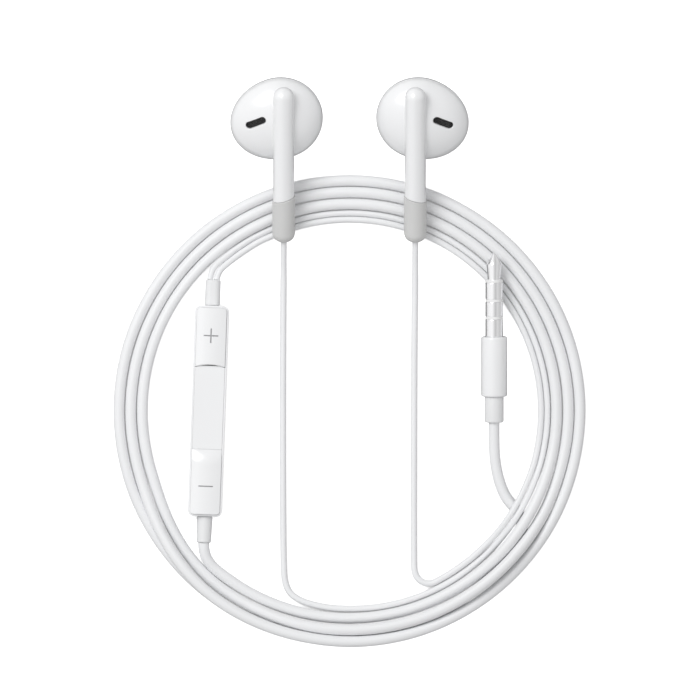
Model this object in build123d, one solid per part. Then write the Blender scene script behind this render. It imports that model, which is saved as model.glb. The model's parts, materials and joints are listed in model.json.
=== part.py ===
from build123d import *
from math import cos, hypot, pi, radians, sin, tan
import os

# Wired earphones laid flat: two earbuds, an in-line remote with three keys, a four-pole
# 3.5 mm plug, and 1.2 m of cord wound into one neat coil.
# Millimetres. +Z is up and the table is z = 0. The origin is on the table, midway between
# the earbuds, with +X towards the right earbud and +Y from the cords towards the heads.

FIT = 0.05                    # between pieces that fit closely
PAST = 1.0                    # how far a cutting shape reaches past what it cuts
LARGE = 80.0                  # side of a cutting block that is larger than any piece

# ---------------------------------------------------------------- sizes: earbud
BUD_SPACING = 26.3            # from one stem's axis to the other
HEAD_OUTER_REACH = 10.1       # head centre to the narrow outer end of the egg
HEAD_INNER_REACH = 8.6        # head centre to the blunt inner end
HEAD_HALF_HEIGHT = 8.35       # head centre to its upper and lower sides
HEAD_FRONT_DEPTH = 7.2        # parting plane to the front, which faces the ear
HEAD_BACK_DEPTH = 5.0         # parting plane to the crown of the back
HEAD_TURN = 17.9              # the egg's long axis dips outwards by this, degrees
HEAD_OFFSET = 0.73            # head centre outwards of the stem's axis
HEAD_RISE = 24.46             # cord exit to head centre, along the stem
HEAD_WALL = 0.9
LIP_HEIGHT = 0.8              # lip of the front shell inside the rear shell
LIP_WALL = 0.45
STEM_RADIUS = 2.1
STEM_WALL = 0.6
STEM_ABOVE_PARTING = 4.8      # stem axis to the parting plane
STEM_TOP = 32.7               # cord exit to the tip of the stem's dome
COLLAR_STEP = 0.17            # the collar stands proud of the stem by this
COLLAR_LENGTH = 9.1           # on the axis; its upper end is cut on a slant
COLLAR_SLANT = 15.0           # degrees, lower on the outer side
COLLAR_ROUNDING = 1.9
SPIGOT_LENGTH = 2.6           # collar inside the stem, past the seam
CRIMP_LENGTH = 3.0
CRIMP_GAP = 0.28              # crimp to the inside of the stem
CRIMP_GAP_ABOVE_SPIGOT = 1.5
LEAD_LENGTH = 23.0            # thin cord inside collar, stem and head
VENT_LENGTH = 4.3
VENT_WIDTH = 1.42
VENT_PLACE = (4.8, 0.5)       # from the head centre
VENT_TURN = 26.0
GRILLE_LENGTH = 7.4
GRILLE_WIDTH = 4.8
GRILLE_PLACE = 3.6            # outwards of the head centre, along the egg's axis
GRILLE_RECESS = 0.25
GRILLE_THICKNESS = 0.45
FOAM_THICKNESS = 0.9

# ---------------------------------------------------------------- sizes: driver
DRIVER_GAP = 0.6              # driver to the lip round it
FRAME_HEIGHT = 1.8
FRAME_RIM = 0.8
FRAME_PLATE = 0.6
YOKE_RADIUS = 3.9
YOKE_WALL = 0.5
YOKE_DEPTH = 2.4
MAGNET_HEIGHT = 1.1
TOP_PLATE_HEIGHT = 0.5
COIL_GAP = 0.15               # voice coil to the top plate and to the yoke
COIL_WALL = 0.4
COIL_HEIGHT = 1.6
DIAPHRAGM_THICKNESS = 0.12
DIAPHRAGM_DOME = 0.7          # rise of the dome in the middle

# ---------------------------------------------------------------- sizes: remote
REMOTE_PLACE = (-28.2, -50.4)
REMOTE_TURN = -2.07           # degrees about Z
REMOTE_LENGTH = 42.1
REMOTE_WIDTH = 6.75
REMOTE_HEIGHT = 5.2
REMOTE_CORNER = 1.1
REMOTE_EDGE = 1.0
SHELL_HEIGHT = 4.4
SHELL_WALL = 0.4
SHELL_FLOOR = 0.7
RIB_WIDTH = 1.0
RIB_PLACE = 12.0
KEY_GAP = 0.06
KEY_CORNER = 0.7              # at the remote's ends; the keys meet square to its sides
KEY_CROWN_RADIUS = 9.5        # the outer keys are crowned across their width
KEY_TRAVEL = 0.25
KEY_STOP_GAP = 0.1            # pressed key to the frame under it
PLUS_KEY_END = 12.3           # from the remote's upper end, at the key's corners
LIP_ARCH = 0.5                # the plus key's lower end is arched by this in the middle
MINUS_KEY_END = 13.4          # from the remote's lower end
CENTRE_KEY_TOP = 4.45
MINUS_RAMP_LENGTH = 1.4
SIGN_PLACE = 6.0              # from the remote's ends to the middle of each sign
SIGN_LENGTH = 2.9
SIGN_WIDTH = 0.22
SIGN_DEPTH = 0.12
BOARD_SIDE_GAP = 0.475        # board to the shell's sides
BOARD_END_GAP = 1.95          # board to the boots' flanges
BOARD_UNDERSIDE = 1.7
BOARD_THICKNESS = 0.6
SWITCH_SIDE = 3.0
SWITCH_HEIGHT = 0.7
PLUNGER_RADIUS = 0.6
PLUNGER_GAP = 0.05            # pressed plunger to its switch
PLUNGER_CLEARANCE = 0.3
FRAME_THICKNESS = 0.3
FRAME_CLEARANCE = 0.05
FRAME_RAIL = 0.5
CHIP_SIDE = 3.0
CHIP_HEIGHT = 0.7
CHIP_PLACE = -3.0
MICROPHONE_SIZE = (2.0, 2.9)
MICROPHONE_PLACE = 6.5
SOUND_HOLE_RADIUS = 0.45
MESH_RADIUS = 0.9
MESH_THICKNESS = 0.15
BOOT_HEIGHT_OF_AXIS = 2.2
TOP_BOOT_WIDTH = 3.04
TOP_BOOT_DEPTH = 2.3
TOP_BOOT_LENGTH = 5.2
BOTTOM_BOOT_RADII = (1.6, 1.45)
BOTTOM_BOOT_LENGTH = 5.3
BOOT_ROUNDING = 0.35
BOOT_NECK_RADIUS = 0.95
BOOT_FLANGE_RADIUS = 1.2
BOOT_FLANGE_THICKNESS = 0.7
BOOT_FIT = 0.03
CORDS_APART = 1.35            # the two thin cords, side by side in the upper boot

# ---------------------------------------------------------------- sizes: plug
PLUG_SHOULDER = (28.9, -35.5)
PLUG_RADIUS = 1.75
PLUG_SLEEVE = 3.5
PLUG_RING_2 = 2.95
PLUG_RING_1 = 3.35
PLUG_TIP = 5.4
INSULATOR_WIDTH = 0.53
INSULATOR_STEP = 0.02         # below the contacts
CORE_RADIUS = 0.9
TIP_ROD_RADIUS = 0.5
PLUG_BODY_RADIUS = 2.63
PLUG_BODY_LENGTH = 12.0
PLUG_BODY_ROUNDING = 0.4
CORE_IN_BODY = 4.0
PLUG_NECK_RADIUS = 1.92
PLUG_NECK_LENGTH = 5.2
PLUG_NECK_ROUNDING = 0.3
PLUG_TILT = 4.7               # nose up: the tip lies over the coil

# The tip from its insulator to its point: share of its length, and of the plug's radius.
TIP_PROFILE = (
    (0.0, 0.72),
    (0.28, 0.78),
    (0.5, 0.86),
    (0.58, 0.87),
    (0.68, 0.73),
    (0.77, 0.57),
    (0.85, 0.42),
    (0.92, 0.28),
    (0.98, 0.16),
    (1.0, 0.08),
)

# ---------------------------------------------------------------- sizes: cords
THIN_CORD = 1.25              # diameters
THICK_CORD = 2.2
LEAD_FIT = 0.04               # radial gap round the thin cord in collar and crimp
TABLE_GAP = 0.005             # under a cord that lies on the table
CORNER_SHARE = 0.45           # of the shorter run at a cord's corner, taken up by its arc
STRAND_FLAT = 0.1             # half of the flat left on top of each strand of the coil
THIN_LIES = THIN_CORD / 2 + TABLE_GAP     # height of its middle, for a cord on the table
THICK_LIES = THICK_CORD / 2 + TABLE_GAP
COIL_CENTRE = (0.0, -50.4)
COIL_BANDS = (46.07, 43.77, 41.44)
COIL_STACK = 4.5              # height where one strand lies on another
EXIT_HEIGHT = 3.2             # cord exit of each earbud, above the table
EXIT_Y = -16.5
THIN_RING_STEP = 10.0         # degrees between points along the ring-shaped stretches
LEFT_RING_RADIUS = 39.6
RIGHT_RING_RADIUS = 38.3
HUMP_HEIGHT = 3.0             # a thin cord's middle, where it crosses the thick cord

# Sectors of the coil, from one angle to the next, and the bands that carry a second strand.
COIL_SECTORS = (
    (208.0, 248.0, (0,)),
    (248.0, 302.0, (0, 1)),
    (302.0, 312.0, (1,)),
    (312.0, 332.0, (1, 2)),
    (332.0, 340.0, (2,)),
    (340.0, 568.0, ()),
)

# A thin cord's hump over the thick cord: angle round the coil, and height of its middle.
HUMP = ((319.5, 1.5), (326.0, HUMP_HEIGHT), (332.5, HUMP_HEIGHT), (339.0, 1.6))

# Points of the left cord before and after its ring-shaped stretch. Its first point is where it
# leaves the earbud, and its last is at the boot's end.
LEFT_CORD_DOWN = [
    (-13.17, -19.9, 1.92),
    (-13.2, -23.6, 0.95),
    (-13.25, -29.5, THIN_LIES),
    (-13.31, -40.5, THIN_LIES),
    (-13.33, -56.0, THIN_LIES),
    (-13.29, -69.0, THIN_LIES),
    (-13.22, -77.0, THIN_LIES),
    (-13.14, -81.6, THIN_LIES),
    (-12.95, -84.7, THIN_LIES),
    (-11.95, -86.9, THIN_LIES),
    (-9.8, -88.35, THIN_LIES),
    (-6.6, -89.3, THIN_LIES),
    (-2.6, -89.95, THIN_LIES),
]
LEFT_CORD_RING = (276.0, 313.0, 345.5, 478.0)   # first, hump, hump, last
LEFT_CORD_TO_REMOTE = [
    (-22.3, -17.65, 0.85),
    (-24.95, -19.7, 1.35),
    (-26.85, -21.3, 1.85),
    (-27.65, -22.7, 2.12),
]

# The right cord, in the same way.
RIGHT_CORD_DOWN = [
    (13.13, -19.9, 1.92),
    (13.1, -23.6, 0.95),
    (13.03, -29.5, THIN_LIES),
    (12.95, -40.5, THIN_LIES),
    (12.89, -56.0, THIN_LIES),
    (12.87, -68.5, THIN_LIES),
    (12.87, -76.0, THIN_LIES),
    (12.89, -79.9, THIN_LIES),
    (12.95, -82.7, THIN_LIES),
    (13.74, -84.08, THIN_LIES),
    (15.12, -84.89, THIN_LIES),
    (16.7, -84.82, THIN_LIES),
    (18.15, -84.02, THIN_LIES),
    (20.15, -82.87, THIN_LIES),
    (22.55, -81.23, THIN_LIES),
    (25.2, -79.2, THIN_LIES),
]
RIGHT_CORD_RING = (345.5, 477.0)                # hump, last
RIGHT_CORD_TO_REMOTE = [
    (-19.5, -17.35, THIN_LIES),
    (-22.5, -19.35, 0.95),
    (-25.35, -21.65, 1.7),
    (-26.3, -22.85, 2.05),
]

# The thick cord after the remote's boot, and before the plug's neck.
THICK_CORD_FROM_REMOTE = [
    (-29.2, -78.1, 2.12),
    (-28.35, -80.5, 1.6),
]
THICK_CORD_TO_PLUG = [
    (34.64, -73.24, THICK_LIES),
    (33.6, -70.2, THICK_LIES),
    (31.3, -67.9, THICK_LIES),
    (29.9, -64.6, 1.25),
    (29.05, -60.4, 1.5),
    (28.9, -56.5, 1.8),
]

# ---------------------------------------------------------------- sizes worked out
COLLAR_RADIUS = STEM_RADIUS + COLLAR_STEP
MAGNET_RADIUS = YOKE_RADIUS - YOKE_WALL - 2 * COIL_GAP - COIL_WALL
CORE_BORE = TIP_ROD_RADIUS + FIT
DRIVER_RADIUS = HEAD_HALF_HEIGHT - HEAD_WALL - LIP_WALL - DRIVER_GAP
STEM_BORE = STEM_RADIUS - STEM_WALL
INSIDE_WIDTH = REMOTE_WIDTH - 2 * SHELL_WALL
INSIDE_LENGTH = REMOTE_LENGTH - 2 * SHELL_WALL
KEYS_WIDTH = INSIDE_WIDTH - 2 * KEY_GAP
KEYS_LENGTH = INSIDE_LENGTH - 2 * KEY_GAP
BOARD_WIDTH = INSIDE_WIDTH - 2 * BOARD_SIDE_GAP
BOARD_LENGTH = INSIDE_LENGTH - 2 * (BOOT_FLANGE_THICKNESS + BOARD_END_GAP)
BOARD_TOP = BOARD_UNDERSIDE + BOARD_THICKNESS
SWITCH_TOP = BOARD_TOP + SWITCH_HEIGHT
FRAME_TOP = SWITCH_TOP + FRAME_CLEARANCE + FRAME_THICKNESS
KEY_UNDERSIDE = FRAME_TOP + KEY_TRAVEL + KEY_STOP_GAP
MINUS_KEY_START = REMOTE_LENGTH - MINUS_KEY_END

pieces = {}


# ---------------------------------------------------------------- helpers
def turned(profile):
    """A closed profile of (radius, height) points, turned about Z."""
    face = make_face(Polyline([(r, 0, h) for r, h in profile], close=True))
    return revolve(face, Axis.Z)


def ring(outer, inner, low, high):
    """A flat ring or, with no inner radius, a disc, between two heights."""
    middle = Pos(0, 0, (low + high) / 2)
    solid = middle * Cylinder(outer, high - low)
    if inner:
        solid -= middle * Cylinder(inner, high - low)
    return solid


def block(width, length, low, high, place=(0.0, 0.0), corner=0.0):
    """An upright block between two heights, with rounded upright edges if asked."""
    if corner:
        outline = RectangleRounded(width, length, corner)
    else:
        outline = Rectangle(width, length)
    return Pos(place[0], place[1], low) * extrude(outline, high - low)


# ---------------------------------------------------------------- earbud
def half_egg(inset, front):
    """Half of the egg-shaped head, centred on the origin, on one side of its parting plane."""
    outer = HEAD_OUTER_REACH - inset
    inner = HEAD_INNER_REACH - inset
    half = HEAD_HALF_HEIGHT - inset
    depth = (HEAD_FRONT_DEPTH if front else HEAD_BACK_DEPTH) - inset
    outline = [
        EllipticalCenterArc((0, 0), outer, half, start_angle=0, arc_size=90),
        EllipticalCenterArc((0, 0), inner, half, start_angle=90, arc_size=90),
        Line((-inner, 0), (outer, 0)),
    ]
    half_solid = revolve(make_face(outline), Axis.X, revolution_arc=180)
    half_solid = scale(half_solid, by=(1, 1, depth / half))
    if front:
        half_solid = mirror(half_solid, about=Plane.XY)
    return Rot(0, 0, -HEAD_TURN) * half_solid


def egg_layer(outer_inset, inner_inset, front):
    """A layer of the head between two depths below its surface."""
    return half_egg(outer_inset, front) - half_egg(inner_inset, front)


def head_to_bud(solid):
    """Moves a piece from the head's centre to its place above the cord exit."""
    return Pos(HEAD_OFFSET, HEAD_RISE, -STEM_ABOVE_PARTING) * solid


def along_stem(solid):
    """Turns a piece built along Z so that it runs up the stem, along Y."""
    return Rot(-90, 0, 0) * solid


def above_seam(height):
    """Everything above the slanted seam between stem and collar, shifted up by height."""
    seam = Pos(0, COLLAR_LENGTH + height, 0) * Rot(0, 0, -COLLAR_SLANT)
    return seam * Pos(0, LARGE / 2, 0) * Box(LARGE, LARGE, LARGE)


def stem_outside():
    dome_centre = STEM_TOP - STEM_RADIUS
    shaft = along_stem(ring(STEM_RADIUS, 0, 0, dome_centre))
    return shaft + Pos(0, dome_centre, 0) * Sphere(STEM_RADIUS)


def vent_opening(shrink=0.0):
    outline = SlotOverall(VENT_LENGTH - 2 * shrink, VENT_WIDTH - 2 * shrink)
    opening = extrude(outline, HEAD_BACK_DEPTH + PAST)
    return Pos(VENT_PLACE[0], VENT_PLACE[1], 0) * Rot(0, 0, -VENT_TURN) * opening


def grille_opening(shrink=0.0):
    outline = Ellipse(GRILLE_LENGTH / 2 - shrink, GRILLE_WIDTH / 2 - shrink)
    opening = extrude(outline, -(HEAD_FRONT_DEPTH + PAST))
    return Rot(0, 0, -HEAD_TURN) * Pos(GRILLE_PLACE, 0, 0) * opening


def shells():
    bore = along_stem(ring(STEM_BORE, 0, 0, STEM_TOP - 2 * STEM_RADIUS))
    rear = head_to_bud(half_egg(0, False)) + stem_outside()
    rear -= head_to_bud(half_egg(HEAD_WALL, False) + vent_opening())
    rear -= bore
    rear &= above_seam(0)
    lip_slab = Box(LARGE, LARGE, 2 * LIP_HEIGHT)
    lip = egg_layer(HEAD_WALL, HEAD_WALL + LIP_WALL, True)
    lip += egg_layer(HEAD_WALL + FIT, HEAD_WALL + LIP_WALL, False)
    front = egg_layer(0, HEAD_WALL, True) + (lip & lip_slab)
    front -= grille_opening()
    return {"rear_shell": rear, "front_shell": head_to_bud(front)}


def acoustic_parts():
    """The grille over the sound outlet, the foam behind it and the rear vent's mesh."""
    grille_back = GRILLE_RECESS + GRILLE_THICKNESS
    grille = grille_opening(FIT) & egg_layer(GRILLE_RECESS, grille_back, True)
    foam_back = grille_back + FIT + FOAM_THICKNESS
    foam = grille_opening(HEAD_WALL / 2) & egg_layer(grille_back + FIT, foam_back, True)
    vent = vent_opening(FIT) & egg_layer(HEAD_WALL / 3, HEAD_WALL, False)
    named = {"sound_grille": grille, "damping_foam": foam, "rear_vent": vent}
    return {name: head_to_bud(solid) for name, solid in named.items()}


def driver():
    """The loudspeaker, facing the front, with its axis square to the parting plane."""
    rear_face = FRAME_HEIGHT / 2
    basket = ring(DRIVER_RADIUS, DRIVER_RADIUS - FRAME_RIM, -rear_face, rear_face)
    basket += ring(DRIVER_RADIUS, YOKE_RADIUS, rear_face - FRAME_PLATE, rear_face)
    yoke_back = rear_face - FRAME_PLATE + YOKE_DEPTH - YOKE_WALL
    yoke_front = yoke_back - YOKE_DEPTH
    cup_floor = yoke_back - YOKE_WALL
    yoke = ring(YOKE_RADIUS, YOKE_RADIUS - YOKE_WALL, yoke_front, yoke_back)
    yoke += ring(YOKE_RADIUS - YOKE_WALL, 0, cup_floor, yoke_back)
    magnet = ring(MAGNET_RADIUS, 0, cup_floor - MAGNET_HEIGHT, cup_floor)
    plate_back = cup_floor - MAGNET_HEIGHT
    top_plate = ring(MAGNET_RADIUS, 0, plate_back - TOP_PLATE_HEIGHT, plate_back)
    coil_back = cup_floor - COIL_GAP - MAGNET_HEIGHT / 2
    coil = ring(
        YOKE_RADIUS - YOKE_WALL - COIL_GAP,
        MAGNET_RADIUS + COIL_GAP,
        coil_back - COIL_HEIGHT,
        coil_back,
    )
    skin = coil_back - COIL_HEIGHT
    dome_edge = YOKE_RADIUS - YOKE_WALL - COIL_GAP
    dome_radius = (dome_edge**2 + DIAPHRAGM_DOME**2) / (2 * DIAPHRAGM_DOME)
    dome_centre = Pos(0, 0, skin - DIAPHRAGM_DOME + dome_radius)
    dome = dome_centre * (Sphere(dome_radius) - Sphere(dome_radius - DIAPHRAGM_THICKNESS))
    dome &= ring(dome_edge, 0, skin - 2 * DIAPHRAGM_DOME, skin)
    edge = DRIVER_RADIUS - FRAME_RIM - FIT
    diaphragm = dome + ring(edge, dome_edge - DIAPHRAGM_THICKNESS, skin - DIAPHRAGM_THICKNESS, skin)
    named = {
        "driver_frame": basket,
        "yoke": yoke,
        "magnet": magnet,
        "top_plate": top_plate,
        "voice_coil": coil,
        "diaphragm": diaphragm,
    }
    return {name: head_to_bud(solid) for name, solid in named.items()}


def stem_parts():
    """The collar at the stem's lower end, and the thin cord's crimp and end inside."""
    lead_bore = THIN_CORD / 2 + LEAD_FIT
    spigot_radius = STEM_BORE - LEAD_FIT
    collar = ring(COLLAR_RADIUS, 0, 0, COLLAR_LENGTH + COLLAR_RADIUS)
    collar = fillet(collar.edges().group_by(Axis.Z)[0], COLLAR_ROUNDING)
    collar = along_stem(collar) - above_seam(0)
    spigot = along_stem(ring(spigot_radius, 0, COLLAR_LENGTH / 2, COLLAR_LENGTH + SPIGOT_LENGTH))
    collar += spigot
    collar -= along_stem(ring(lead_bore, 0, 0, STEM_TOP))
    crimp_low = COLLAR_LENGTH + SPIGOT_LENGTH + CRIMP_GAP_ABOVE_SPIGOT
    crimp = ring(STEM_BORE - CRIMP_GAP, lead_bore, crimp_low, crimp_low + CRIMP_LENGTH)
    lead = ring(THIN_CORD / 2, 0, 0, LEAD_LENGTH)
    return {"stem_collar": collar, "cord_crimp": along_stem(crimp), "stem_lead": along_stem(lead)}


def head_height(tilt):
    """Head centre above the cord exit, along Z, for one tilt of the stem in degrees."""
    return HEAD_RISE * sin(radians(tilt)) - STEM_ABOVE_PARTING * cos(radians(tilt))


def stem_tilt():
    """The slope of the stem, in degrees, when the head touches the table."""
    low, high = 0.0, 60.0
    for _ in range(50):
        tilt = (low + high) / 2
        reach = hypot(
            HEAD_HALF_HEIGHT * sin(radians(tilt)),
            HEAD_FRONT_DEPTH * cos(radians(tilt)),
        )
        if EXIT_HEIGHT + head_height(tilt) < reach:
            low = tilt
        else:
            high = tilt
    return high


def earbuds():
    named = shells() | acoustic_parts() | driver() | stem_parts()
    tilt = stem_tilt()
    print(f"stem tilt {tilt:.2f} degrees")
    place = Pos(BUD_SPACING / 2, EXIT_Y, EXIT_HEIGHT) * Rot(tilt, 0, 0)
    for name, solid in named.items():
        right = place * solid
        pieces[f"right_{name}"] = right
        pieces[f"left_{name}"] = mirror(right, about=Plane.YZ)


# ---------------------------------------------------------------- remote
def remote_frame():
    """The frame at the middle of the remote's back, with Y towards its upper end."""
    return Pos(REMOTE_PLACE[0], REMOTE_PLACE[1], 0) * Rot(0, 0, REMOTE_TURN)


def from_top(distance):
    """Height along the remote's length of a place measured from its upper end."""
    return REMOTE_LENGTH / 2 - distance


def key_block(start, end, low, high):
    """The part of the keys' common outline between two distances from the remote's upper end."""
    whole = block(KEYS_WIDTH, KEYS_LENGTH, low, high, corner=KEY_CORNER)
    return whole & block(KEYS_WIDTH, end - start, low, high, (0.0, from_top((start + end) / 2)))


def arch(gap):
    """The round end of the centre key, which the plus key's lower end is arched over."""
    radius = ((KEYS_WIDTH / 2) ** 2 + LIP_ARCH**2) / (2 * LIP_ARCH)
    middle = from_top(PLUS_KEY_END - LIP_ARCH) - radius
    return Pos(0, middle, 0) * ring(radius - gap, 0, 0, REMOTE_HEIGHT + PAST)


def crowned(key):
    crown = Rot(90, 0, 0) * Cylinder(KEY_CROWN_RADIUS, REMOTE_LENGTH)
    return key & (Pos(0, 0, REMOTE_HEIGHT - KEY_CROWN_RADIUS) * crown)


def sign_bar(place, across):
    """One bar of a sign, sunk in the crown of a key."""
    width = SIGN_LENGTH if across else SIGN_WIDTH
    length = SIGN_WIDTH if across else SIGN_LENGTH
    return block(width, length, REMOTE_HEIGHT - SIGN_DEPTH, REMOTE_HEIGHT + PAST, (0.0, place))


def remote_keys():
    end_gap = SHELL_WALL + KEY_GAP
    plus = crowned(key_block(end_gap, PLUS_KEY_END, KEY_UNDERSIDE, REMOTE_HEIGHT)) - arch(0)
    plus_sign = from_top(SIGN_PLACE)
    plus -= sign_bar(plus_sign, True) + sign_bar(plus_sign, False)
    minus_end = REMOTE_LENGTH - end_gap
    minus = crowned(key_block(MINUS_KEY_START, minus_end, KEY_UNDERSIDE, REMOTE_HEIGHT))
    minus -= sign_bar(-plus_sign, True)
    ramp_top = from_top(MINUS_KEY_START)
    ramp = Polyline(
        [
            (0, ramp_top, CENTRE_KEY_TOP),
            (0, ramp_top, REMOTE_HEIGHT + PAST),
            (0, ramp_top - MINUS_RAMP_LENGTH, REMOTE_HEIGHT + PAST),
            (0, ramp_top - MINUS_RAMP_LENGTH, REMOTE_HEIGHT),
        ],
        close=True,
    )
    minus -= extrude(make_face(ramp), REMOTE_WIDTH, both=True, dir=(1, 0, 0))
    centre_end = MINUS_KEY_START - 2 * KEY_GAP
    centre = key_block(PLUS_KEY_END - LIP_ARCH, centre_end, KEY_UNDERSIDE, CENTRE_KEY_TOP)
    centre &= arch(2 * KEY_GAP) + key_block(
        PLUS_KEY_END + LIP_ARCH, centre_end, KEY_UNDERSIDE, CENTRE_KEY_TOP
    )
    return {"plus_button": plus, "centre_button": centre, "minus_button": minus}


def key_places():
    """Places along the remote of the switches under the three keys."""
    end_gap = SHELL_WALL + KEY_GAP
    return {
        "plus": from_top((end_gap + PLUS_KEY_END) / 2),
        "centre": from_top((PLUS_KEY_END + MINUS_KEY_START) / 2),
        "minus": from_top((MINUS_KEY_START + REMOTE_LENGTH - end_gap) / 2),
    }


def top_boot_section(shrink):
    width = TOP_BOOT_WIDTH - 2 * shrink
    depth = TOP_BOOT_DEPTH - 2 * shrink
    return RectangleRounded(width, depth, depth / 2 - BOOT_FIT)


def boot_axis():
    """The frame at the remote's upper end, with Z out of the remote along its length."""
    return Pos(0, REMOTE_LENGTH / 2, BOOT_HEIGHT_OF_AXIS) * Rot(-90, 0, 0)


def remote_boots():
    """Strain reliefs: a sleeve outside, a neck through the end wall and a flange inside."""
    neck_inset = TOP_BOOT_DEPTH / 2 - BOOT_NECK_RADIUS
    flange_inset = TOP_BOOT_DEPTH / 2 - BOOT_FLANGE_RADIUS
    behind_wall = -SHELL_WALL - BOOT_FLANGE_THICKNESS
    top = extrude(top_boot_section(0), TOP_BOOT_LENGTH)
    top = fillet(top.edges().group_by(Axis.Z)[-1], BOOT_ROUNDING)
    top += extrude(top_boot_section(neck_inset), -SHELL_WALL)
    top += Pos(0, 0, behind_wall) * extrude(top_boot_section(flange_inset), BOOT_FLANGE_THICKNESS)
    wide, narrow = BOTTOM_BOOT_RADII
    bottom = Pos(0, 0, BOTTOM_BOOT_LENGTH / 2) * Cone(wide, narrow, BOTTOM_BOOT_LENGTH)
    bottom = fillet(bottom.edges().group_by(Axis.Z)[-1], BOOT_ROUNDING)
    bottom += ring(BOOT_NECK_RADIUS, 0, -SHELL_WALL, 0)
    bottom += ring(BOOT_FLANGE_RADIUS, 0, behind_wall, -SHELL_WALL)
    upper = boot_axis() * top
    lower = Rot(0, 0, 180) * boot_axis() * bottom
    return {"remote_top_boot": upper, "remote_bottom_boot": lower}


def remote_shell():
    shell = block(REMOTE_WIDTH, REMOTE_LENGTH, 0, SHELL_HEIGHT, corner=REMOTE_CORNER)
    shell = fillet(shell.edges().group_by(Axis.Z)[0], REMOTE_EDGE)
    inside_corner = REMOTE_CORNER - SHELL_WALL
    shell -= block(INSIDE_WIDTH, INSIDE_LENGTH, SHELL_FLOOR, REMOTE_HEIGHT, corner=inside_corner)
    for side in (-1, 1):
        rib_place = (0.0, side * RIB_PLACE)
        shell += block(INSIDE_WIDTH, RIB_WIDTH, SHELL_FLOOR, BOARD_UNDERSIDE, rib_place)
    neck_inset = TOP_BOOT_DEPTH / 2 - BOOT_NECK_RADIUS - BOOT_FIT
    slot = Pos(0, 0, -REMOTE_CORNER) * extrude(top_boot_section(neck_inset), 2 * REMOTE_CORNER)
    hole = ring(BOOT_NECK_RADIUS + BOOT_FIT, 0, -REMOTE_CORNER, REMOTE_CORNER)
    shell -= boot_axis() * slot
    shell -= Rot(0, 0, 180) * boot_axis() * hole
    shell -= Pos(0, MICROPHONE_PLACE, 0) * ring(SOUND_HOLE_RADIUS, 0, -PAST, SHELL_FLOOR + PAST)
    return shell


def remote_electronics():
    board = block(BOARD_WIDTH, BOARD_LENGTH, BOARD_UNDERSIDE, BOARD_TOP)
    chip_low = BOARD_UNDERSIDE - CHIP_HEIGHT
    chip = block(CHIP_SIDE, CHIP_SIDE, chip_low, BOARD_UNDERSIDE, (0.0, CHIP_PLACE))
    mesh_top = SHELL_FLOOR + MESH_THICKNESS
    microphone_place = (0.0, MICROPHONE_PLACE)
    microphone = block(*MICROPHONE_SIZE, mesh_top, BOARD_UNDERSIDE, microphone_place)
    mesh = Pos(0, MICROPHONE_PLACE, 0) * ring(MESH_RADIUS, 0, SHELL_FLOOR, mesh_top)
    frame_low = FRAME_TOP - FRAME_THICKNESS
    frame_width = INSIDE_WIDTH - 2 * FRAME_CLEARANCE
    frame = block(frame_width, BOARD_LENGTH, frame_low, FRAME_TOP)
    for side in (-1, 1):
        rail_place = (side * (frame_width - FRAME_RAIL) / 2, 0.0)
        frame += block(FRAME_RAIL, BOARD_LENGTH, BOARD_TOP, frame_low, rail_place)
    bases = []
    plungers = {}
    for key, place in key_places().items():
        bases.append(block(SWITCH_SIDE, SWITCH_SIDE, BOARD_TOP, SWITCH_TOP, (0.0, place)))
        frame -= Pos(0, place, 0) * ring(PLUNGER_RADIUS + PLUNGER_CLEARANCE, 0, 0, REMOTE_HEIGHT)
        plunger_low = SWITCH_TOP + KEY_TRAVEL + PLUNGER_GAP
        plunger = ring(PLUNGER_RADIUS, 0, plunger_low, KEY_UNDERSIDE)
        plungers[f"{key}_plunger"] = Pos(0, place, 0) * plunger
    named = {
        "circuit_board": board,
        "controller_chip": chip,
        "microphone": microphone,
        "microphone_mesh": mesh,
        "remote_inner_frame": frame,
        "switch_bases": Compound(children=bases),
    }
    return named | plungers


def remote():
    named = {"remote_rear_shell": remote_shell()}
    named |= remote_keys() | remote_boots() | remote_electronics()
    for name, solid in named.items():
        pieces[name] = remote_frame() * solid


# ---------------------------------------------------------------- plug
def plug_axis():
    """The frame at the plug's shoulder, with Z along the plug towards its tip."""
    x, y = PLUG_SHOULDER
    rear_edge = PLUG_BODY_RADIUS * cos(radians(PLUG_TILT)) + TABLE_GAP
    height = rear_edge + PLUG_BODY_LENGTH * sin(radians(PLUG_TILT))
    return Pos(x, y, height) * Rot(PLUG_TILT - 90, 0, 0)


def plug_contacts():
    bore = CORE_RADIUS + FIT
    named = {}
    start = 0.0
    insulator = PLUG_RADIUS - INSULATOR_STEP
    sections = (("sleeve", PLUG_SLEEVE), ("ring_2", PLUG_RING_2), ("ring_1", PLUG_RING_1))
    for number, (name, length) in enumerate(sections, start=1):
        named[f"plug_{name}"] = ring(PLUG_RADIUS, bore, start, start + length)
        start += length
        named[f"plug_insulator_{number}"] = ring(insulator, bore, start, start + INSULATOR_WIDTH)
        start += INSULATOR_WIDTH
    named["plug_core"] = ring(CORE_RADIUS, CORE_BORE, -CORE_IN_BODY, start)
    tip = [(0, -CORE_IN_BODY), (TIP_ROD_RADIUS, -CORE_IN_BODY), (TIP_ROD_RADIUS, start)]
    tip += [(share * PLUG_RADIUS, start + along * PLUG_TIP) for along, share in TIP_PROFILE]
    tip.append((0, start + PLUG_TIP))
    named["plug_tip"] = turned(tip)
    return named


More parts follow.
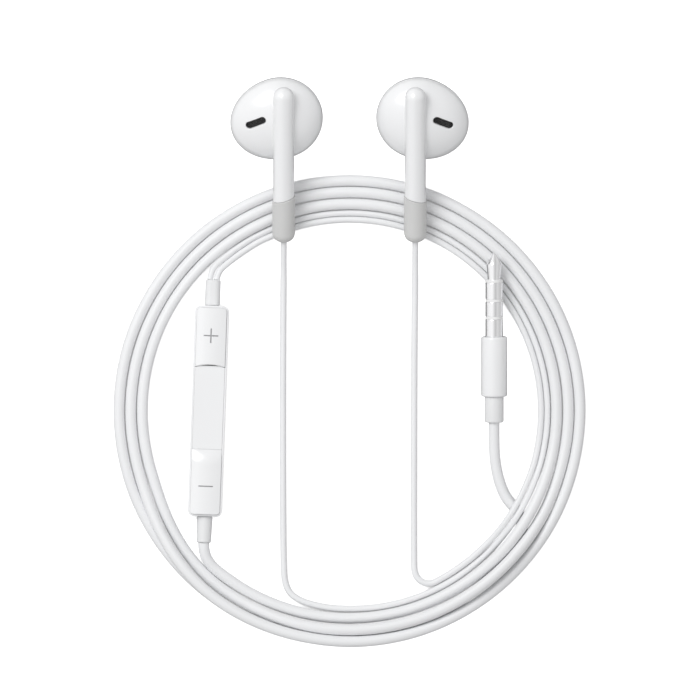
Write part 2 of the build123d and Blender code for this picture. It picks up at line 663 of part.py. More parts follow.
def plug():
    body = ring(PLUG_BODY_RADIUS, 0, -PLUG_BODY_LENGTH, 0)
    body = fillet(body.edges().filter_by(GeomType.CIRCLE), PLUG_BODY_ROUNDING)
    body -= ring(CORE_RADIUS + FIT, 0, -CORE_IN_BODY, 0)
    neck_end = -PLUG_BODY_LENGTH - PLUG_NECK_LENGTH
    neck = ring(PLUG_NECK_RADIUS, 0, neck_end, -PLUG_BODY_LENGTH)
    neck = fillet(neck.edges().group_by(Axis.Z)[0], PLUG_NECK_ROUNDING)
    named = {"plug_body": body, "plug_neck": neck} | plug_contacts()
    for name, solid in named.items():
        pieces[name] = plug_axis() * solid


# ---------------------------------------------------------------- cords
def on_coil(radius, angle, height):
    """A point at an angle in degrees round the coil's centre."""
    x = COIL_CENTRE[0] + radius * cos(radians(angle))
    y = COIL_CENTRE[1] + radius * sin(radians(angle))
    return (x, y, height)


def ring_points(radius, first, last):
    """Points of a thin cord round the coil, set out so that the cord's middle is on the ring."""
    count = round((last - first) / THIN_RING_STEP)
    step = (last - first) / count
    corner = radius / cos(radians(step / 2))
    height = THIN_CORD / 2 + TABLE_GAP
    return [on_coil(corner, first + number * step, height) for number in range(count + 1)]


def hump_points(radius):
    """Points of a thin cord where it climbs over the thick cord that leaves the coil."""
    return [on_coil(radius, angle, height) for angle, height in HUMP]


def corner_radii(route):
    """The largest tangent arc that each corner's two runs allow."""
    radii = []
    for before, corner, after in zip(route, route[1:], route[2:]):
        run_in = Vector(*corner) - Vector(*before)
        run_out = Vector(*after) - Vector(*corner)
        half_turn = radians(run_in.get_angle(run_out)) / 2
        radii.append(CORNER_SHARE * min(run_in.length, run_out.length) / tan(half_turn))
    return radii


def tube(name, route, diameter):
    """A cord's tube: straight runs joined by tangent arcs."""
    radii = corner_radii(route)
    path = FilletPolyline(*route, radius=radii)
    section = Plane(origin=path @ 0, z_dir=path % 0) * Circle(diameter / 2)
    solid = sweep(section, path=path)
    expected = pi * diameter**2 / 4 * path.length
    print(f"{name}: length {path.length:.1f}, volume over section x length "
          f"{solid.volume / expected:.4f}, lowest point {solid.bounding_box().min.Z:.3f}")
    print("  radii " + " ".join(f"{radius:.1f}" for radius in radii))
    pieces[name] = solid


def coil_section(raised):
    """The coil's section: three strands side by side, with a second strand on some bands."""
    half_strand = THICK_CORD / 2
    edges = [COIL_BANDS[0] + half_strand]
    edges += [(outer + inner) / 2 for outer, inner in zip(COIL_BANDS, COIL_BANDS[1:])]
    edges.append(COIL_BANDS[-1] - half_strand)
    rounding = half_strand - STRAND_FLAT

    def box_between(outer, inner, height):
        return Pos((outer + inner) / 2, height / 2) * Rectangle(outer - inner, height)

    outline = box_between(edges[0], edges[-1], THICK_CORD)
    for band in raised:
        outline += box_between(edges[band], edges[band + 1], COIL_STACK)
    outline = fillet(outline.vertices(), rounding)
    return Plane.XZ * outline


def coil():
    solid = None
    for start, end, raised in COIL_SECTORS:
        sector = revolve(coil_section(raised), Axis.Z, revolution_arc=end - start)
        sector = Rot(0, 0, start) * sector
        solid = sector if solid is None else solid + sector
    pieces["main_cord_coil"] = Pos(COIL_CENTRE[0], COIL_CENTRE[1], 0) * solid


def earbud_exit(side):
    return (side * BUD_SPACING / 2, EXIT_Y, EXIT_HEIGHT)


def boot_end(upper, aside=0.0):
    """Where a cord meets a boot of the remote."""
    if upper:
        reach = REMOTE_LENGTH / 2 + TOP_BOOT_LENGTH
    else:
        reach = -REMOTE_LENGTH / 2 - BOTTOM_BOOT_LENGTH
    return tuple((remote_frame() * Pos(aside, reach, BOOT_HEIGHT_OF_AXIS)).position)


def neck_end():
    """Where the thick cord meets the plug's neck."""
    return tuple((plug_axis() * Pos(0, 0, -PLUG_BODY_LENGTH - PLUG_NECK_LENGTH)).position)


def cords():
    first, hump_first, hump_last, last = LEFT_CORD_RING
    left = [earbud_exit(-1)] + LEFT_CORD_DOWN
    left += ring_points(LEFT_RING_RADIUS, first, hump_first)
    left += hump_points(LEFT_RING_RADIUS)
    left += ring_points(LEFT_RING_RADIUS, hump_last, last)
    left += LEFT_CORD_TO_REMOTE + [boot_end(True, -CORDS_APART / 2)]
    tube("left_cord", left, THIN_CORD)
    hump_last, last = RIGHT_CORD_RING
    right = [earbud_exit(1)] + RIGHT_CORD_DOWN
    right += hump_points(RIGHT_RING_RADIUS)
    right += ring_points(RIGHT_RING_RADIUS, hump_last, last)
    right += RIGHT_CORD_TO_REMOTE + [boot_end(True, CORDS_APART / 2)]
    tube("right_cord", right, THIN_CORD)
    tube("main_cord_remote_end", [boot_end(False)] + THICK_CORD_FROM_REMOTE, THICK_CORD)
    tube("main_cord_plug_end", THICK_CORD_TO_PLUG + [neck_end()], THICK_CORD)
    coil()


# ---------------------------------------------------------------- everything
earbuds()
remote()
plug()
cords()

os.makedirs("parts", exist_ok=True)
for name, solid in pieces.items():
    export_step(solid, f"parts/{name}.step")
print(f"{len(pieces)} nodes")
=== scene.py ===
"""Wired earphones laid flat on a white table, seen from straight above.

Sizes are in millimetres in the names below, as in the CAD part, and every mesh is scaled to
metres when it is made. The cords come first, then the earbuds, the remote and the plug.
"""

import json
from math import cos, radians, sin

import bpy
import numpy as np
from mathutils import Matrix, Vector


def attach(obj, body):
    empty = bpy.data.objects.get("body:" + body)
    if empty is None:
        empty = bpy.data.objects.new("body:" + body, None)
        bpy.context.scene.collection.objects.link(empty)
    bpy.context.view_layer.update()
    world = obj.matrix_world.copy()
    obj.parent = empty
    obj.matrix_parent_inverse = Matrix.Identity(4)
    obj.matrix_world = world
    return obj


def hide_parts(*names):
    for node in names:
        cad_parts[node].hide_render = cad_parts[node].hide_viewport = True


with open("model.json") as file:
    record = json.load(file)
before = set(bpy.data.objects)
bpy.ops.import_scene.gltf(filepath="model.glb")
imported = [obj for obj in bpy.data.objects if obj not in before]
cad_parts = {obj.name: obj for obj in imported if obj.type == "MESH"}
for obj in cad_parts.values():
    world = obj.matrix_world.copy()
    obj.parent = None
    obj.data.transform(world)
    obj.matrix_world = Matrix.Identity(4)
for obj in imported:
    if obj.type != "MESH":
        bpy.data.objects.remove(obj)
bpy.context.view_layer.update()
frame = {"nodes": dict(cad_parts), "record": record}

MM = 0.001
BODY = "earphones"

# ---------------------------------------------------------------- sizes: earbud
BUD_SPACING = 26.3
EXIT_Y = -16.5
EXIT_HEIGHT = 3.2
BUD_TILT = 20.69              # degrees, the stem's slope when the head rests on the table
HEAD_OUTER_REACH = 10.1
HEAD_INNER_REACH = 8.6
HEAD_HALF_HEIGHT = 8.35
HEAD_FRONT_DEPTH = 7.2
HEAD_BACK_DEPTH = 5.0
HEAD_TURN = 17.9
HEAD_CENTRE = (0.73, 24.46, -4.8)   # from the cord exit, in the bud's own frame
HEAD_WALL = 0.9
LIP_HEIGHT = 0.8
LIP_WALL = 0.45
STEM_RADIUS = 2.1
STEM_WALL = 0.6
STEM_TOP = 32.7
COLLAR_RADIUS = 2.27
COLLAR_LENGTH = 9.1
COLLAR_SLANT = 15.0
COLLAR_ROUNDING = 1.9
SPIGOT_LENGTH = 2.6
VENT_LENGTH = 4.3
VENT_WIDTH = 1.42
VENT_PLACE = (4.8, 0.5)
VENT_TURN = 26.0
GRILLE_LENGTH = 7.4
GRILLE_WIDTH = 4.8
GRILLE_PLACE = 3.6

SHELL_EDGE = 0.16             # roundings of the earbuds' edges
STEM_EDGE = 0.12
INNER_EDGE = 0.1
LIP_EDGE = 0.08
FINE_EDGE = 0.05
OUTLET_EDGE = 0.25
BORE_EDGE = 0.06
PARTING_GAP = 0.03            # front shell below the parting plane
SEAM_GAP = 0.02               # stem and collar, each from their seam
LIP_FIT = 0.06
LIP_ROOT = 0.2                # how far the lip's root is sunk in the front shell's wall
SPIGOT_FIT = 0.04
SPIGOT_START = 4.0
CORD_FIT = 0.04

GRILLE_SUNK = 0.5             # woven meshes: depth, pitch, wire's radius and the rim round them
GRILLE_PITCH = 0.42
GRILLE_WIRE = 0.09
GRILLE_RIM_EDGE = 0.38
VENT_SUNK = 0.6
VENT_PITCH = 0.26
VENT_WIRE = 0.055
VENT_RIM_EDGE = 0.2
RIM_FIT = 0.06

# ---------------------------------------------------------------- sizes: remote
REMOTE_PLACE = (-28.2, -50.4)
REMOTE_TURN = -2.07
REMOTE_LENGTH = 42.1
REMOTE_WIDTH = 6.75
REMOTE_HEIGHT = 5.2
REMOTE_CORNER = 1.1
REMOTE_EDGE = 1.0
SHELL_HEIGHT = 4.4
SHELL_WALL = 0.4
SHELL_FLOOR = 0.7
KEY_GAP = 0.01
KEY_CORNER = 0.7
KEY_CROWN_RADIUS = 9.5
KEY_UNDERSIDE = 3.7
PLUS_KEY_END = 12.3
LIP_ARCH = 0.5                # the plus key's lower end is arched by this in the middle
MINUS_KEY_END = 13.4
CENTRE_KEY_TOP = 4.45
MINUS_RAMP_LENGTH = 1.4
SIGN_PLACE = 6.0
SIGN_LENGTH = 2.9
SIGN_WIDTH = 0.22
SIGN_DEPTH = 0.12
KEY_SIDE_ROUNDING = 0.03
LIP_ROUNDING = 0.25
MICROPHONE_PLACE = 6.5
SOUND_HOLE_RADIUS = 0.45
BOOT_AXIS_HEIGHT = 2.2
TOP_BOOT_WIDTH = 3.04
TOP_BOOT_DEPTH = 2.3
TOP_BOOT_LENGTH = 5.2
BOTTOM_BOOT_RADII = (1.6, 1.45)
BOTTOM_BOOT_LENGTH = 5.3
BOOT_ROUNDING = 0.35
BOOT_NECK_RADIUS = 0.95
BOOT_FIT = 0.03
CORDS_APART = 1.35
BOOT_FLANGE_STEP = 0.25       # flange beyond the neck
BOOT_FLANGE_THICKNESS = 0.7
BOOT_FLANGE_EDGE = 0.08
NECK_PAST = 0.2               # neck into the flange
NECK_SUNK = 0.6               # neck into the sleeve
RIM_EDGE = 0.04               # roundings of the remote's edges
HOLE_EDGE = 0.12
SLOT_EDGE = 0.05
KEY_UNDER_EDGE = 0.1
KEY_END_EDGE = 0.02
KEY_SEAM_EDGE = 0.01
RAMP_ROUNDING = 0.8
SIGN_CORNER = 0.06
SIGN_EDGE = 0.04

# ---------------------------------------------------------------- sizes: plug
PLUG_SHOULDER = (28.9, -35.5)
PLUG_TILT = 4.7
PLUG_RADIUS = 1.75
PLUG_CORE_RADIUS = 0.9
PLUG_SECTIONS = (("plug_sleeve", 3.5), ("plug_ring_2", 2.95), ("plug_ring_1", 3.35))
PLUG_TIP = 5.4
INSULATOR_WIDTH = 0.53
PLUG_BODY_RADIUS = 2.63
PLUG_BODY_LENGTH = 12.0
PLUG_NECK_RADIUS = 1.92
PLUG_NECK_LENGTH = 5.2
PLUG_NECK_BORE = 0.3
PLUG_CORE_FIT = 0.05
PLUG_CONTACT_EDGE = 0.12
PLUG_BODY_ROUNDING = 0.4
PLUG_NECK_ROUNDING = 0.3
INSULATOR_STEP = 0.005
INSULATOR_EDGE = 0.05
TIP_HOLE = 0.01               # the tip is turned round a hair-thin hole on its axis

# The tip from its insulator to its point: share of its length, and of the plug's radius.
TIP_PROFILE = (
    (0.0, 0.72),
    (0.28, 0.78),
    (0.5, 0.86),
    (0.58, 0.87),
    (0.68, 0.73),
    (0.77, 0.57),
    (0.85, 0.42),
    (0.92, 0.28),
    (0.98, 0.16),
    (1.0, 0.08),
)

# ---------------------------------------------------------------- sizes: cords
THIN_CORD = 1.25
THICK_CORD = 2.2
TABLE_GAP = 0.005
THIN_LIES = THIN_CORD / 2 + TABLE_GAP
THICK_LIES = THICK_CORD / 2 + TABLE_GAP
COIL_CENTRE = (0.0, -50.4)
LEFT_RING = 39.6
RIGHT_RING = 38.3
THIN_STEP = 10.0              # degrees between points round the ring
HUMP = ((319.5, 1.5), (326.0, 3.0), (332.5, 3.0), (339.0, 1.6))

LEFT_CORD_DOWN = [
    (-13.17, -19.9, 1.92),
    (-13.2, -23.6, 0.95),
    (-13.25, -29.5, THIN_LIES),
    (-13.31, -40.5, THIN_LIES),
    (-13.33, -56.0, THIN_LIES),
    (-13.29, -69.0, THIN_LIES),
    (-13.22, -77.0, THIN_LIES),
    (-13.14, -81.6, THIN_LIES),
    (-12.95, -84.7, THIN_LIES),
    (-11.95, -86.9, THIN_LIES),
    (-9.8, -88.35, THIN_LIES),
    (-6.6, -89.3, THIN_LIES),
    (-2.6, -89.95, THIN_LIES),
]
LEFT_CORD_TO_REMOTE = [
    (-22.3, -17.65, 0.85),
    (-24.95, -19.7, 1.35),
    (-26.85, -21.3, 1.85),
    (-27.65, -22.7, 2.12),
]
RIGHT_CORD_DOWN = [
    (13.13, -19.9, 1.92),
    (13.1, -23.6, 0.95),
    (13.03, -29.5, THIN_LIES),
    (12.95, -40.5, THIN_LIES),
    (12.89, -56.0, THIN_LIES),
    (12.87, -68.5, THIN_LIES),
    (12.87, -76.0, THIN_LIES),
    (12.89, -79.9, THIN_LIES),
    (12.95, -82.7, THIN_LIES),
    (13.74, -84.08, THIN_LIES),
    (15.12, -84.89, THIN_LIES),
    (16.7, -84.82, THIN_LIES),
    (18.15, -84.02, THIN_LIES),
    (20.15, -82.87, THIN_LIES),
    (22.55, -81.23, THIN_LIES),
    (25.2, -79.2, THIN_LIES),
]
RIGHT_CORD_TO_REMOTE = [
    (-19.5, -17.35, THIN_LIES),
    (-22.5, -19.35, 0.95),
    (-25.35, -21.65, 1.7),
    (-26.3, -22.85, 2.05),
]
THICK_CORD_FROM_REMOTE = [
    (-29.2, -78.1, 2.12),
    (-28.35, -80.5, 1.6),
    (-26.3, -82.6, 1.15),
]
THICK_CORD_TO_PLUG = [
    (34.27, -76.4, THICK_LIES),
    (34.64, -73.24, THICK_LIES),
    (33.6, -70.2, THICK_LIES),
    (31.3, -67.9, THICK_LIES),
    (29.9, -64.6, 1.25),
    (29.05, -60.4, 1.5),
    (28.9, -56.5, 1.8),
]

# The thick cord's way round the coil: angle in degrees, counted on through its turns, against
# the ring's radius, and against the height of the cord's middle where turns cross.
COIL_FIRST = 241.0
COIL_LAST = 1400.7
COIL_POINTS = 117
COIL_RADII = (
    (231, 41.44),
    (560, 41.44),
    (588, 43.77),
    (920, 43.77),
    (948, 46.07),
    (1320, 46.1),
    (1400.7, 43.2),
)
COIL_HEIGHTS = (
    (305, THICK_LIES),
    (318, 3.3),
    (332, 3.4),
    (346, THICK_LIES),
    (596, THICK_LIES),
    (610, 2.3),
    (622, 2.95),
    (640, 3.3),
    (660, 3.4),
    (680, 3.4),
    (686, 2.8),
    (698, THICK_LIES),
    (916, THICK_LIES),
    (940, 3.4),
    (972, 3.4),
    (982, 3.3),
    (1000, 2.95),
    (1020, 1.95),
    (1032, THICK_LIES),
)
COIL_UNEVENNESS = 0.04

# ---------------------------------------------------------------- camera, table and light
CAMERA_LENS = 1200.0          # long, so that the view is nearly flat
CAMERA_WIDTH = 140.0
CAMERA_AIM = (0.1, -38.2)
KEY_LIGHT = (-0.42, 0.36, 0.8)          # metres
KEY_SIZE = 0.5
KEY_POWER = 4.4
KEY_TARGET = (0.0, -0.04, 0.0)

# Brightness marks of the world: by height for soft light, and across for what shines.
SKY = ((0.0, 0.33), (0.9, 0.73))
WALLS = ((0.0, 0.98), (0.3, 1.02), (0.5, 0.74), (0.66, 0.56), (0.85, 0.74), (1.0, 0.6))
FLOOR_EDGE = -0.42            # slope under which a reflection shows the dark floor
FLOOR_BLUR = 0.1
FLOOR_SHADE = 0.12
BACKDROP = 0.95

TABLE_HALF = 4.0              # metres
TABLE_TOP = -0.02
TABLE_CARD = -0.04
# strength of the table top's painted glow, a light of its own that is no lamp
TABLE_GLOW = 0.9
TABLE_SHADE = 1.0             # reach of the painted contact shade, where ambient occlusion dims the table's glow
BOUNCE = 0.7                  # the light that the table throws back


# ---------------------------------------------------------------- camera
def set_camera():
    """Straight down over the middle of the object, with +Y up in the picture."""
    camera = bpy.data.cameras.new("camera")
    camera.lens = CAMERA_LENS
    camera.clip_end = 20.0
    distance = CAMERA_WIDTH / camera.sensor_width * camera.lens
    camera_object = bpy.data.objects.new("camera", camera)
    camera_object.location = (CAMERA_AIM[0] * MM, CAMERA_AIM[1] * MM, distance * MM)
    bpy.context.scene.collection.objects.link(camera_object)
    bpy.context.scene.camera = camera_object


# ---------------------------------------------------------------- places
def remote_frame():
    """The frame at the middle of the remote's back, with Y towards its upper end."""
    turn = Matrix.Rotation(radians(REMOTE_TURN), 4, "Z")
    return Matrix.Translation((*REMOTE_PLACE, 0)) @ turn


def bud_frame():
    """The frame at the right bud's cord exit, with Y up the stem and Z away from the table."""
    tilt = Matrix.Rotation(radians(BUD_TILT), 4, "X")
    return Matrix.Translation((BUD_SPACING / 2, EXIT_Y, EXIT_HEIGHT)) @ tilt


def plug_frame():
    """The frame at the plug's shoulder, with Z along the plug towards its tip."""
    tilt = radians(PLUG_TILT)
    height = PLUG_BODY_RADIUS * cos(tilt) + TABLE_GAP + PLUG_BODY_LENGTH * sin(tilt)
    turn = Matrix.Rotation(radians(PLUG_TILT - 90), 4, "X")
    return Matrix.Translation((*PLUG_SHOULDER, height)) @ turn


def on_coil(radius, angle, height):
    x = COIL_CENTRE[0] + radius * cos(radians(angle))
    y = COIL_CENTRE[1] + radius * sin(radians(angle))
    return (x, y, height)


# ---------------------------------------------------------------- materials
def node(tree, kind, **values):
    """A new shader node; inputs are set by name, and other names are its own properties."""
    made = tree.nodes.new(kind)
    for name, value in values.items():
        label = name.replace("_", " ")
        if label in made.inputs:
            made.inputs[label].default_value = value
        else:
            setattr(made, name, value)
    return made


def plastic(
    name,
    colour,
    roughness,
    shade=0.03,
    spread=0.04,
    cloud=90.0,
    grain=4000.0,
    relief=0.004,
    **sockets,
):
    """A moulded surface: clouds of slightly darker colour, uneven polish and a fine grain.

    cloud and grain are noise scales per metre, and relief is the grain's height in millimetres.
    """
    made = bpy.data.materials.new(name)
    made.use_nodes = True
    tree = made.node_tree
    shader = tree.nodes["Principled BSDF"]
    for socket, value in sockets.items():
        shader.inputs[socket.replace("_", " ")].default_value = value
    place = node(tree, "ShaderNodeTexCoord").outputs["Object"]
    clouds = node(tree, "ShaderNodeTexNoise", Scale=cloud, Detail=4.0)
    fine = node(tree, "ShaderNodeTexNoise", Scale=grain, Detail=3.0)
    for noise in (clouds, fine):
        tree.links.new(place, noise.inputs["Vector"])
    ramp = tree.nodes.new("ShaderNodeValToRGB")
    ramp.color_ramp.elements[0].position = 0.3
    ramp.color_ramp.elements[1].position = 0.7
    ramp.color_ramp.elements[0].color = (*[c * (1 - shade) for c in colour], 1)
    ramp.color_ramp.elements[1].color = (*colour, 1)
    tree.links.new(clouds.outputs["Fac"], ramp.inputs["Fac"])
    tree.links.new(ramp.outputs["Color"], shader.inputs["Base Color"])
    polish = node(tree, "ShaderNodeMapRange")
    polish.inputs["To Min"].default_value = max(0.02, roughness - spread)
    polish.inputs["To Max"].default_value = roughness + spread
    tree.links.new(fine.outputs["Fac"], polish.inputs["Value"])
    tree.links.new(polish.outputs["Result"], shader.inputs["Roughness"])
    bump = node(tree, "ShaderNodeBump", Strength=0.5, Distance=relief * MM)
    tree.links.new(fine.outputs["Fac"], bump.inputs["Height"])
    tree.links.new(bump.outputs["Normal"], shader.inputs["Normal"])
    return made


def grooved(made, axis, pitch, height):
    """Adds fine parallel grooves to a material's bump, such as a lathe's or a winding's."""
    tree = made.node_tree
    shader = tree.nodes["Principled BSDF"]
    old = shader.inputs["Normal"].links[0].from_node
    place = node(tree, "ShaderNodeTexCoord").outputs["Object"]
    waves = node(tree, "ShaderNodeTexWave", bands_direction=axis, Scale=0.314 / (pitch * MM))
    waves.inputs["Distortion"].default_value = 0.4
    tree.links.new(place, waves.inputs["Vector"])
    bump = node(tree, "ShaderNodeBump", Strength=0.6, Distance=height * MM)
    tree.links.new(waves.outputs["Fac"], bump.inputs["Height"])
    tree.links.new(old.outputs["Normal"], bump.inputs["Normal"])
    tree.links.new(bump.outputs["Normal"], shader.inputs["Normal"])
    return made


def make_materials():
    """One material for each of the record's slots, and the painted shade in the grooves of the
    keys' signs.
    """
    return {
        "white_gloss_plastic": plastic(
            "white_gloss_plastic", (0.9, 0.905, 0.915), 0.2, shade=0.012, spread=0.03,
            relief=0.0015, Coat_Weight=0.12, Coat_Roughness=0.08, Specular_IOR_Level=0.9,
        ),
        "grey_collar_plastic": plastic(
            "grey_collar_plastic", (0.66, 0.66, 0.655), 0.5, shade=0.05, relief=0.008,
        ),
        "cord_jacket": plastic(
            "cord_jacket", (0.87, 0.876, 0.888), 0.45, shade=0.02, relief=0.005,
        ),
        "soft_white_plastic": plastic(
            "soft_white_plastic", (0.83, 0.835, 0.843), 0.45, shade=0.02, relief=0.005,
        ),
        "frame_plastic": plastic("frame_plastic", (0.74, 0.74, 0.72), 0.5, shade=0.06),
        "black_mesh": plastic(
            "black_mesh", (0.028, 0.028, 0.03), 0.55, shade=0.3, relief=0.01,
        ),
        "foam": plastic(
            "foam", (0.13, 0.13, 0.135), 0.9, shade=0.5, cloud=2500.0, grain=3000.0,
            relief=0.12,
        ),
        "black_plastic": plastic("black_plastic", (0.03, 0.03, 0.032), 0.4, shade=0.2),
        "diaphragm_film": plastic(
            "diaphragm_film", (0.55, 0.48, 0.36), 0.25, shade=0.08, relief=0.006,
        ),
        "board": plastic(
            "board", (0.03, 0.22, 0.1), 0.35, shade=0.35, cloud=900.0, relief=0.01,
        ),
        "insulator_plastic": plastic(
            "insulator_plastic", (0.9, 0.9, 0.9), 0.3, shade=0.02, relief=0.002,
        ),
        "aluminium": plastic(
            "aluminium", (0.78, 0.78, 0.8), 0.35, shade=0.06, relief=0.006, Metallic=1.0,
        ),
        "steel": plastic(
            "steel", (0.62, 0.62, 0.63), 0.32, shade=0.1, relief=0.006, Metallic=1.0,
        ),
        "magnet_alloy": plastic(
            "magnet_alloy", (0.45, 0.45, 0.47), 0.3, shade=0.12, relief=0.004, Metallic=1.0,
        ),
        "copper": grooved(
            plastic("copper", (0.8, 0.38, 0.2), 0.3, shade=0.15, Metallic=1.0),
            "Y", 0.12, 0.03,
        ),
        "contact_metal": grooved(
            plastic(
                "contact_metal", (0.93, 0.93, 0.94), 0.12, shade=0.03, relief=0.0005,
                Metallic=1.0,
            ),
            "Y", 0.08, 0.0005,
        ),
        # painted shade: a darker grey laid on the floors of the engraved signs' grooves
        "sign_groove_shade": plastic("sign_groove_shade", (0.38, 0.38, 0.39), 0.55, shade=0.1),
    }


# ---------------------------------------------------------------- pieces
def add_piece(name, data, slot, body=BODY, stands_for=None):
    """Puts a mesh or curve in the scene, on its body, with its slot's material."""
    made = bpy.data.objects.new(name, data)
    bpy.context.scene.collection.objects.link(made)
    data.materials.append(materials[slot])
    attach(made, body)
    if stands_for:
        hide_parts(*stands_for)
    return made


def cord_piece(name, points, diameter, stands_for):
    """A cord along one NURBS spline with these points, in millimetres, as its control points."""
    curve = bpy.data.curves.new(name, "CURVE")
    curve.dimensions = "3D"
    curve.bevel_depth = diameter / 2 * MM
    curve.bevel_resolution = 6
    curve.resolution_u = 10
    curve.use_fill_caps = True
    spline = curve.splines.new("NURBS")
    spline.points.add(len(points) - 1)
    for point, place in zip(spline.points, points):
        point.co = (*[value * MM for value in place], 1)
    spline.order_u = 3
    spline.use_endpoint_u = True
    spline.use_smooth = True
    return add_piece(name, curve, "cord_jacket", stands_for=stands_for)


def ring_points(radius, first, last):
    """Points of a thin cord round the coil, set out so that the cord's middle is on the ring."""
    count = round((last - first) / THIN_STEP)
    step = (last - first) / count
    corner = radius / cos(radians(step / 2))
    return [on_coil(corner, first + number * step, THIN_LIES) for number in range(count + 1)]


def coil_points():
    """Points of the thick cord round the coil, with the slight unevenness of a hand-wound one."""
    angles = np.linspace(COIL_FIRST, COIL_LAST, COIL_POINTS)
    half_step = radians(angles[1] - angles[0]) / 2
    ring_radii = np.interp(angles, *zip(*COIL_RADII)) / cos(half_step)
    heights = np.interp(angles, *zip(*COIL_HEIGHTS))
    slack = np.random.default_rng(7).uniform(-COIL_UNEVENNESS, COIL_UNEVENNESS, COIL_POINTS)
    slack[:2] = slack[-2:] = 0.0
    return [on_coil(*values) for values in zip(ring_radii + slack, angles, heights)]


def boot_end(upper, aside=0.0):
    """Where a cord meets a boot of the remote."""
    if upper:
        reach = REMOTE_LENGTH / 2 + TOP_BOOT_LENGTH
    else:
        reach = -REMOTE_LENGTH / 2 - BOTTOM_BOOT_LENGTH
    return tuple(remote_frame() @ Vector((aside, reach, BOOT_AXIS_HEIGHT)))


def make_cords():
    """The three cords, each along the same points as its CAD solid."""
    left_exit = (-BUD_SPACING / 2, EXIT_Y, EXIT_HEIGHT)
    right_exit = (BUD_SPACING / 2, EXIT_Y, EXIT_HEIGHT)
    neck_end = tuple(plug_frame() @ Vector((0, 0, -PLUG_BODY_LENGTH - PLUG_NECK_LENGTH)))

    left = [left_exit] + LEFT_CORD_DOWN + ring_points(LEFT_RING, 276.0, 313.0)
    left += [on_coil(LEFT_RING, *place) for place in HUMP]
    left += ring_points(LEFT_RING, 345.5, 478.0)
    left += LEFT_CORD_TO_REMOTE + [boot_end(True, -CORDS_APART / 2)]

    right = [right_exit] + RIGHT_CORD_DOWN
    right += [on_coil(RIGHT_RING, *place) for place in HUMP]
    right += ring_points(RIGHT_RING, 345.5, 477.0)
    right += RIGHT_CORD_TO_REMOTE + [boot_end(True, CORDS_APART / 2)]

    main = [boot_end(False)] + THICK_CORD_FROM_REMOTE + coil_points()
    main += THICK_CORD_TO_PLUG + [neck_end]
    main_nodes = ["main_cord_remote_end", "main_cord_coil", "main_cord_plug_end"]
    return {
        "left": (cord_piece("left_cord_line", left, THIN_CORD, ["left_cord"]), left_exit),
        "right": (cord_piece("right_cord_line", right, THIN_CORD, ["right_cord"]), right_exit),
        "main": (cord_piece("main_cord_line", main, THICK_CORD, main_nodes), boot_end(False)),
    }


# ---------------------------------------------------------------- distance fields
# A field is a function from an array of points to each one's distance outside a shape. The
# functions below combine fields' values, with every edge or crease rounded to a radius.
def both(a, b, radius):
    """What is inside both shapes, its outer edge rounded."""
    corner = np.hypot(np.maximum(a + radius, 0), np.maximum(b + radius, 0))
    return corner + np.minimum(np.maximum(a, b) + radius, 0) - radius


def either(a, b, radius):
    """What is inside either shape, the crease between them filled."""
    return -both(-a, -b, radius)


def without(a, b, radius):
    """What is inside the first shape and outside the second."""
    return both(a, -b, radius)


def rounded_rectangle(x, y, half_width, half_length, corner):
    across = np.abs(x) - half_width + corner
    along = np.abs(y) - half_length + corner
    outside = np.hypot(np.maximum(across, 0), np.maximum(along, 0))
    return outside + np.minimum(np.maximum(across, along), 0) - corner


def between(value, low, high):
    """A slab between two heights."""
    return np.abs(value - (low + high) / 2) - (high - low) / 2


def woven(across, along, depth, pitch, wire):
    """Two sets of wires that pass over and under each other."""
    sets = []
    for one, other in ((across, along), (along, across)):
        number = np.round(one / pitch)
        lift = np.where(number % 2 == 0, 1.0, -1.0) * np.cos(np.pi * other / pitch)
        if other is across:
            lift = -lift
        sets.append(np.hypot(one - number * pitch, depth - 0.8 * wire * lift) - wire)
    return np.minimum(*sets)


def crossings(values, inside):
    """The mean point, in cells, of the surface's crossings with the edges of each cell."""
    shape = [size - 1 for size in values.shape]
    total = np.zeros((*shape, 3))
    count = np.zeros(shape)
    for axis in range(3):
        low = [slice(None)] * 3
        high = [slice(None)] * 3
        low[axis], high[axis] = slice(None, -1), slice(1, None)
        start, end = values[tuple(low)], values[tuple(high)]
        cut = inside[tuple(low)] != inside[tuple(high)]
        share = np.where(cut, start / np.where(cut, start - end, 1.0), 0.0)
        others = [other for other in range(3) if other != axis]
        for first in (0, 1):
            for second in (0, 1):
                part = [slice(None)] * 3
                part[others[0]] = slice(first, first + shape[others[0]])
                part[others[1]] = slice(second, second + shape[others[1]])
                here = cut[tuple(part)]
                total[..., axis] += share[tuple(part)]
                total[..., others[0]] += here * first
                total[..., others[1]] += here * second
                count += here
    return total / np.maximum(count, 1)[..., None], count > 0


def surface_quads(inside, index):
    """Four-cornered faces, one round each grid edge that the surface crosses."""
    quads = []
    for axis in range(3):
        one, two = (axis + 1) % 3, (axis + 2) % 3
        low = [slice(1, -1)] * 3
        high = [slice(1, -1)] * 3
        low[axis], high[axis] = slice(None, -1), slice(1, None)
        starts, ends = inside[tuple(low)], inside[tuple(high)]
        corners = []
        for back_one, back_two in ((1, 1), (0, 1), (0, 0), (1, 0)):
            part = [slice(None)] * 3
            for other, back in ((one, back_one), (two, back_two)):
                size = inside.shape[other]
                part[other] = slice(1 - back, size - 1 - back)
            corners.append(index[tuple(part)])
        corners = np.stack(corners, axis=-1)
        quads.append(corners[starts & ~ends])
        quads.append(corners[~starts & ends][:, ::-1])
    return np.concatenate(quads)


def slope(field, points):
    """A field's gradient, from its values a little to each side."""
    step = 0.01
    parts = []
    for axis in range(3):
        shift = np.zeros(3)
        shift[axis] = step
        parts.append((field(points + shift) - field(points - shift)) / (2 * step))
    return np.stack(parts, axis=-1)


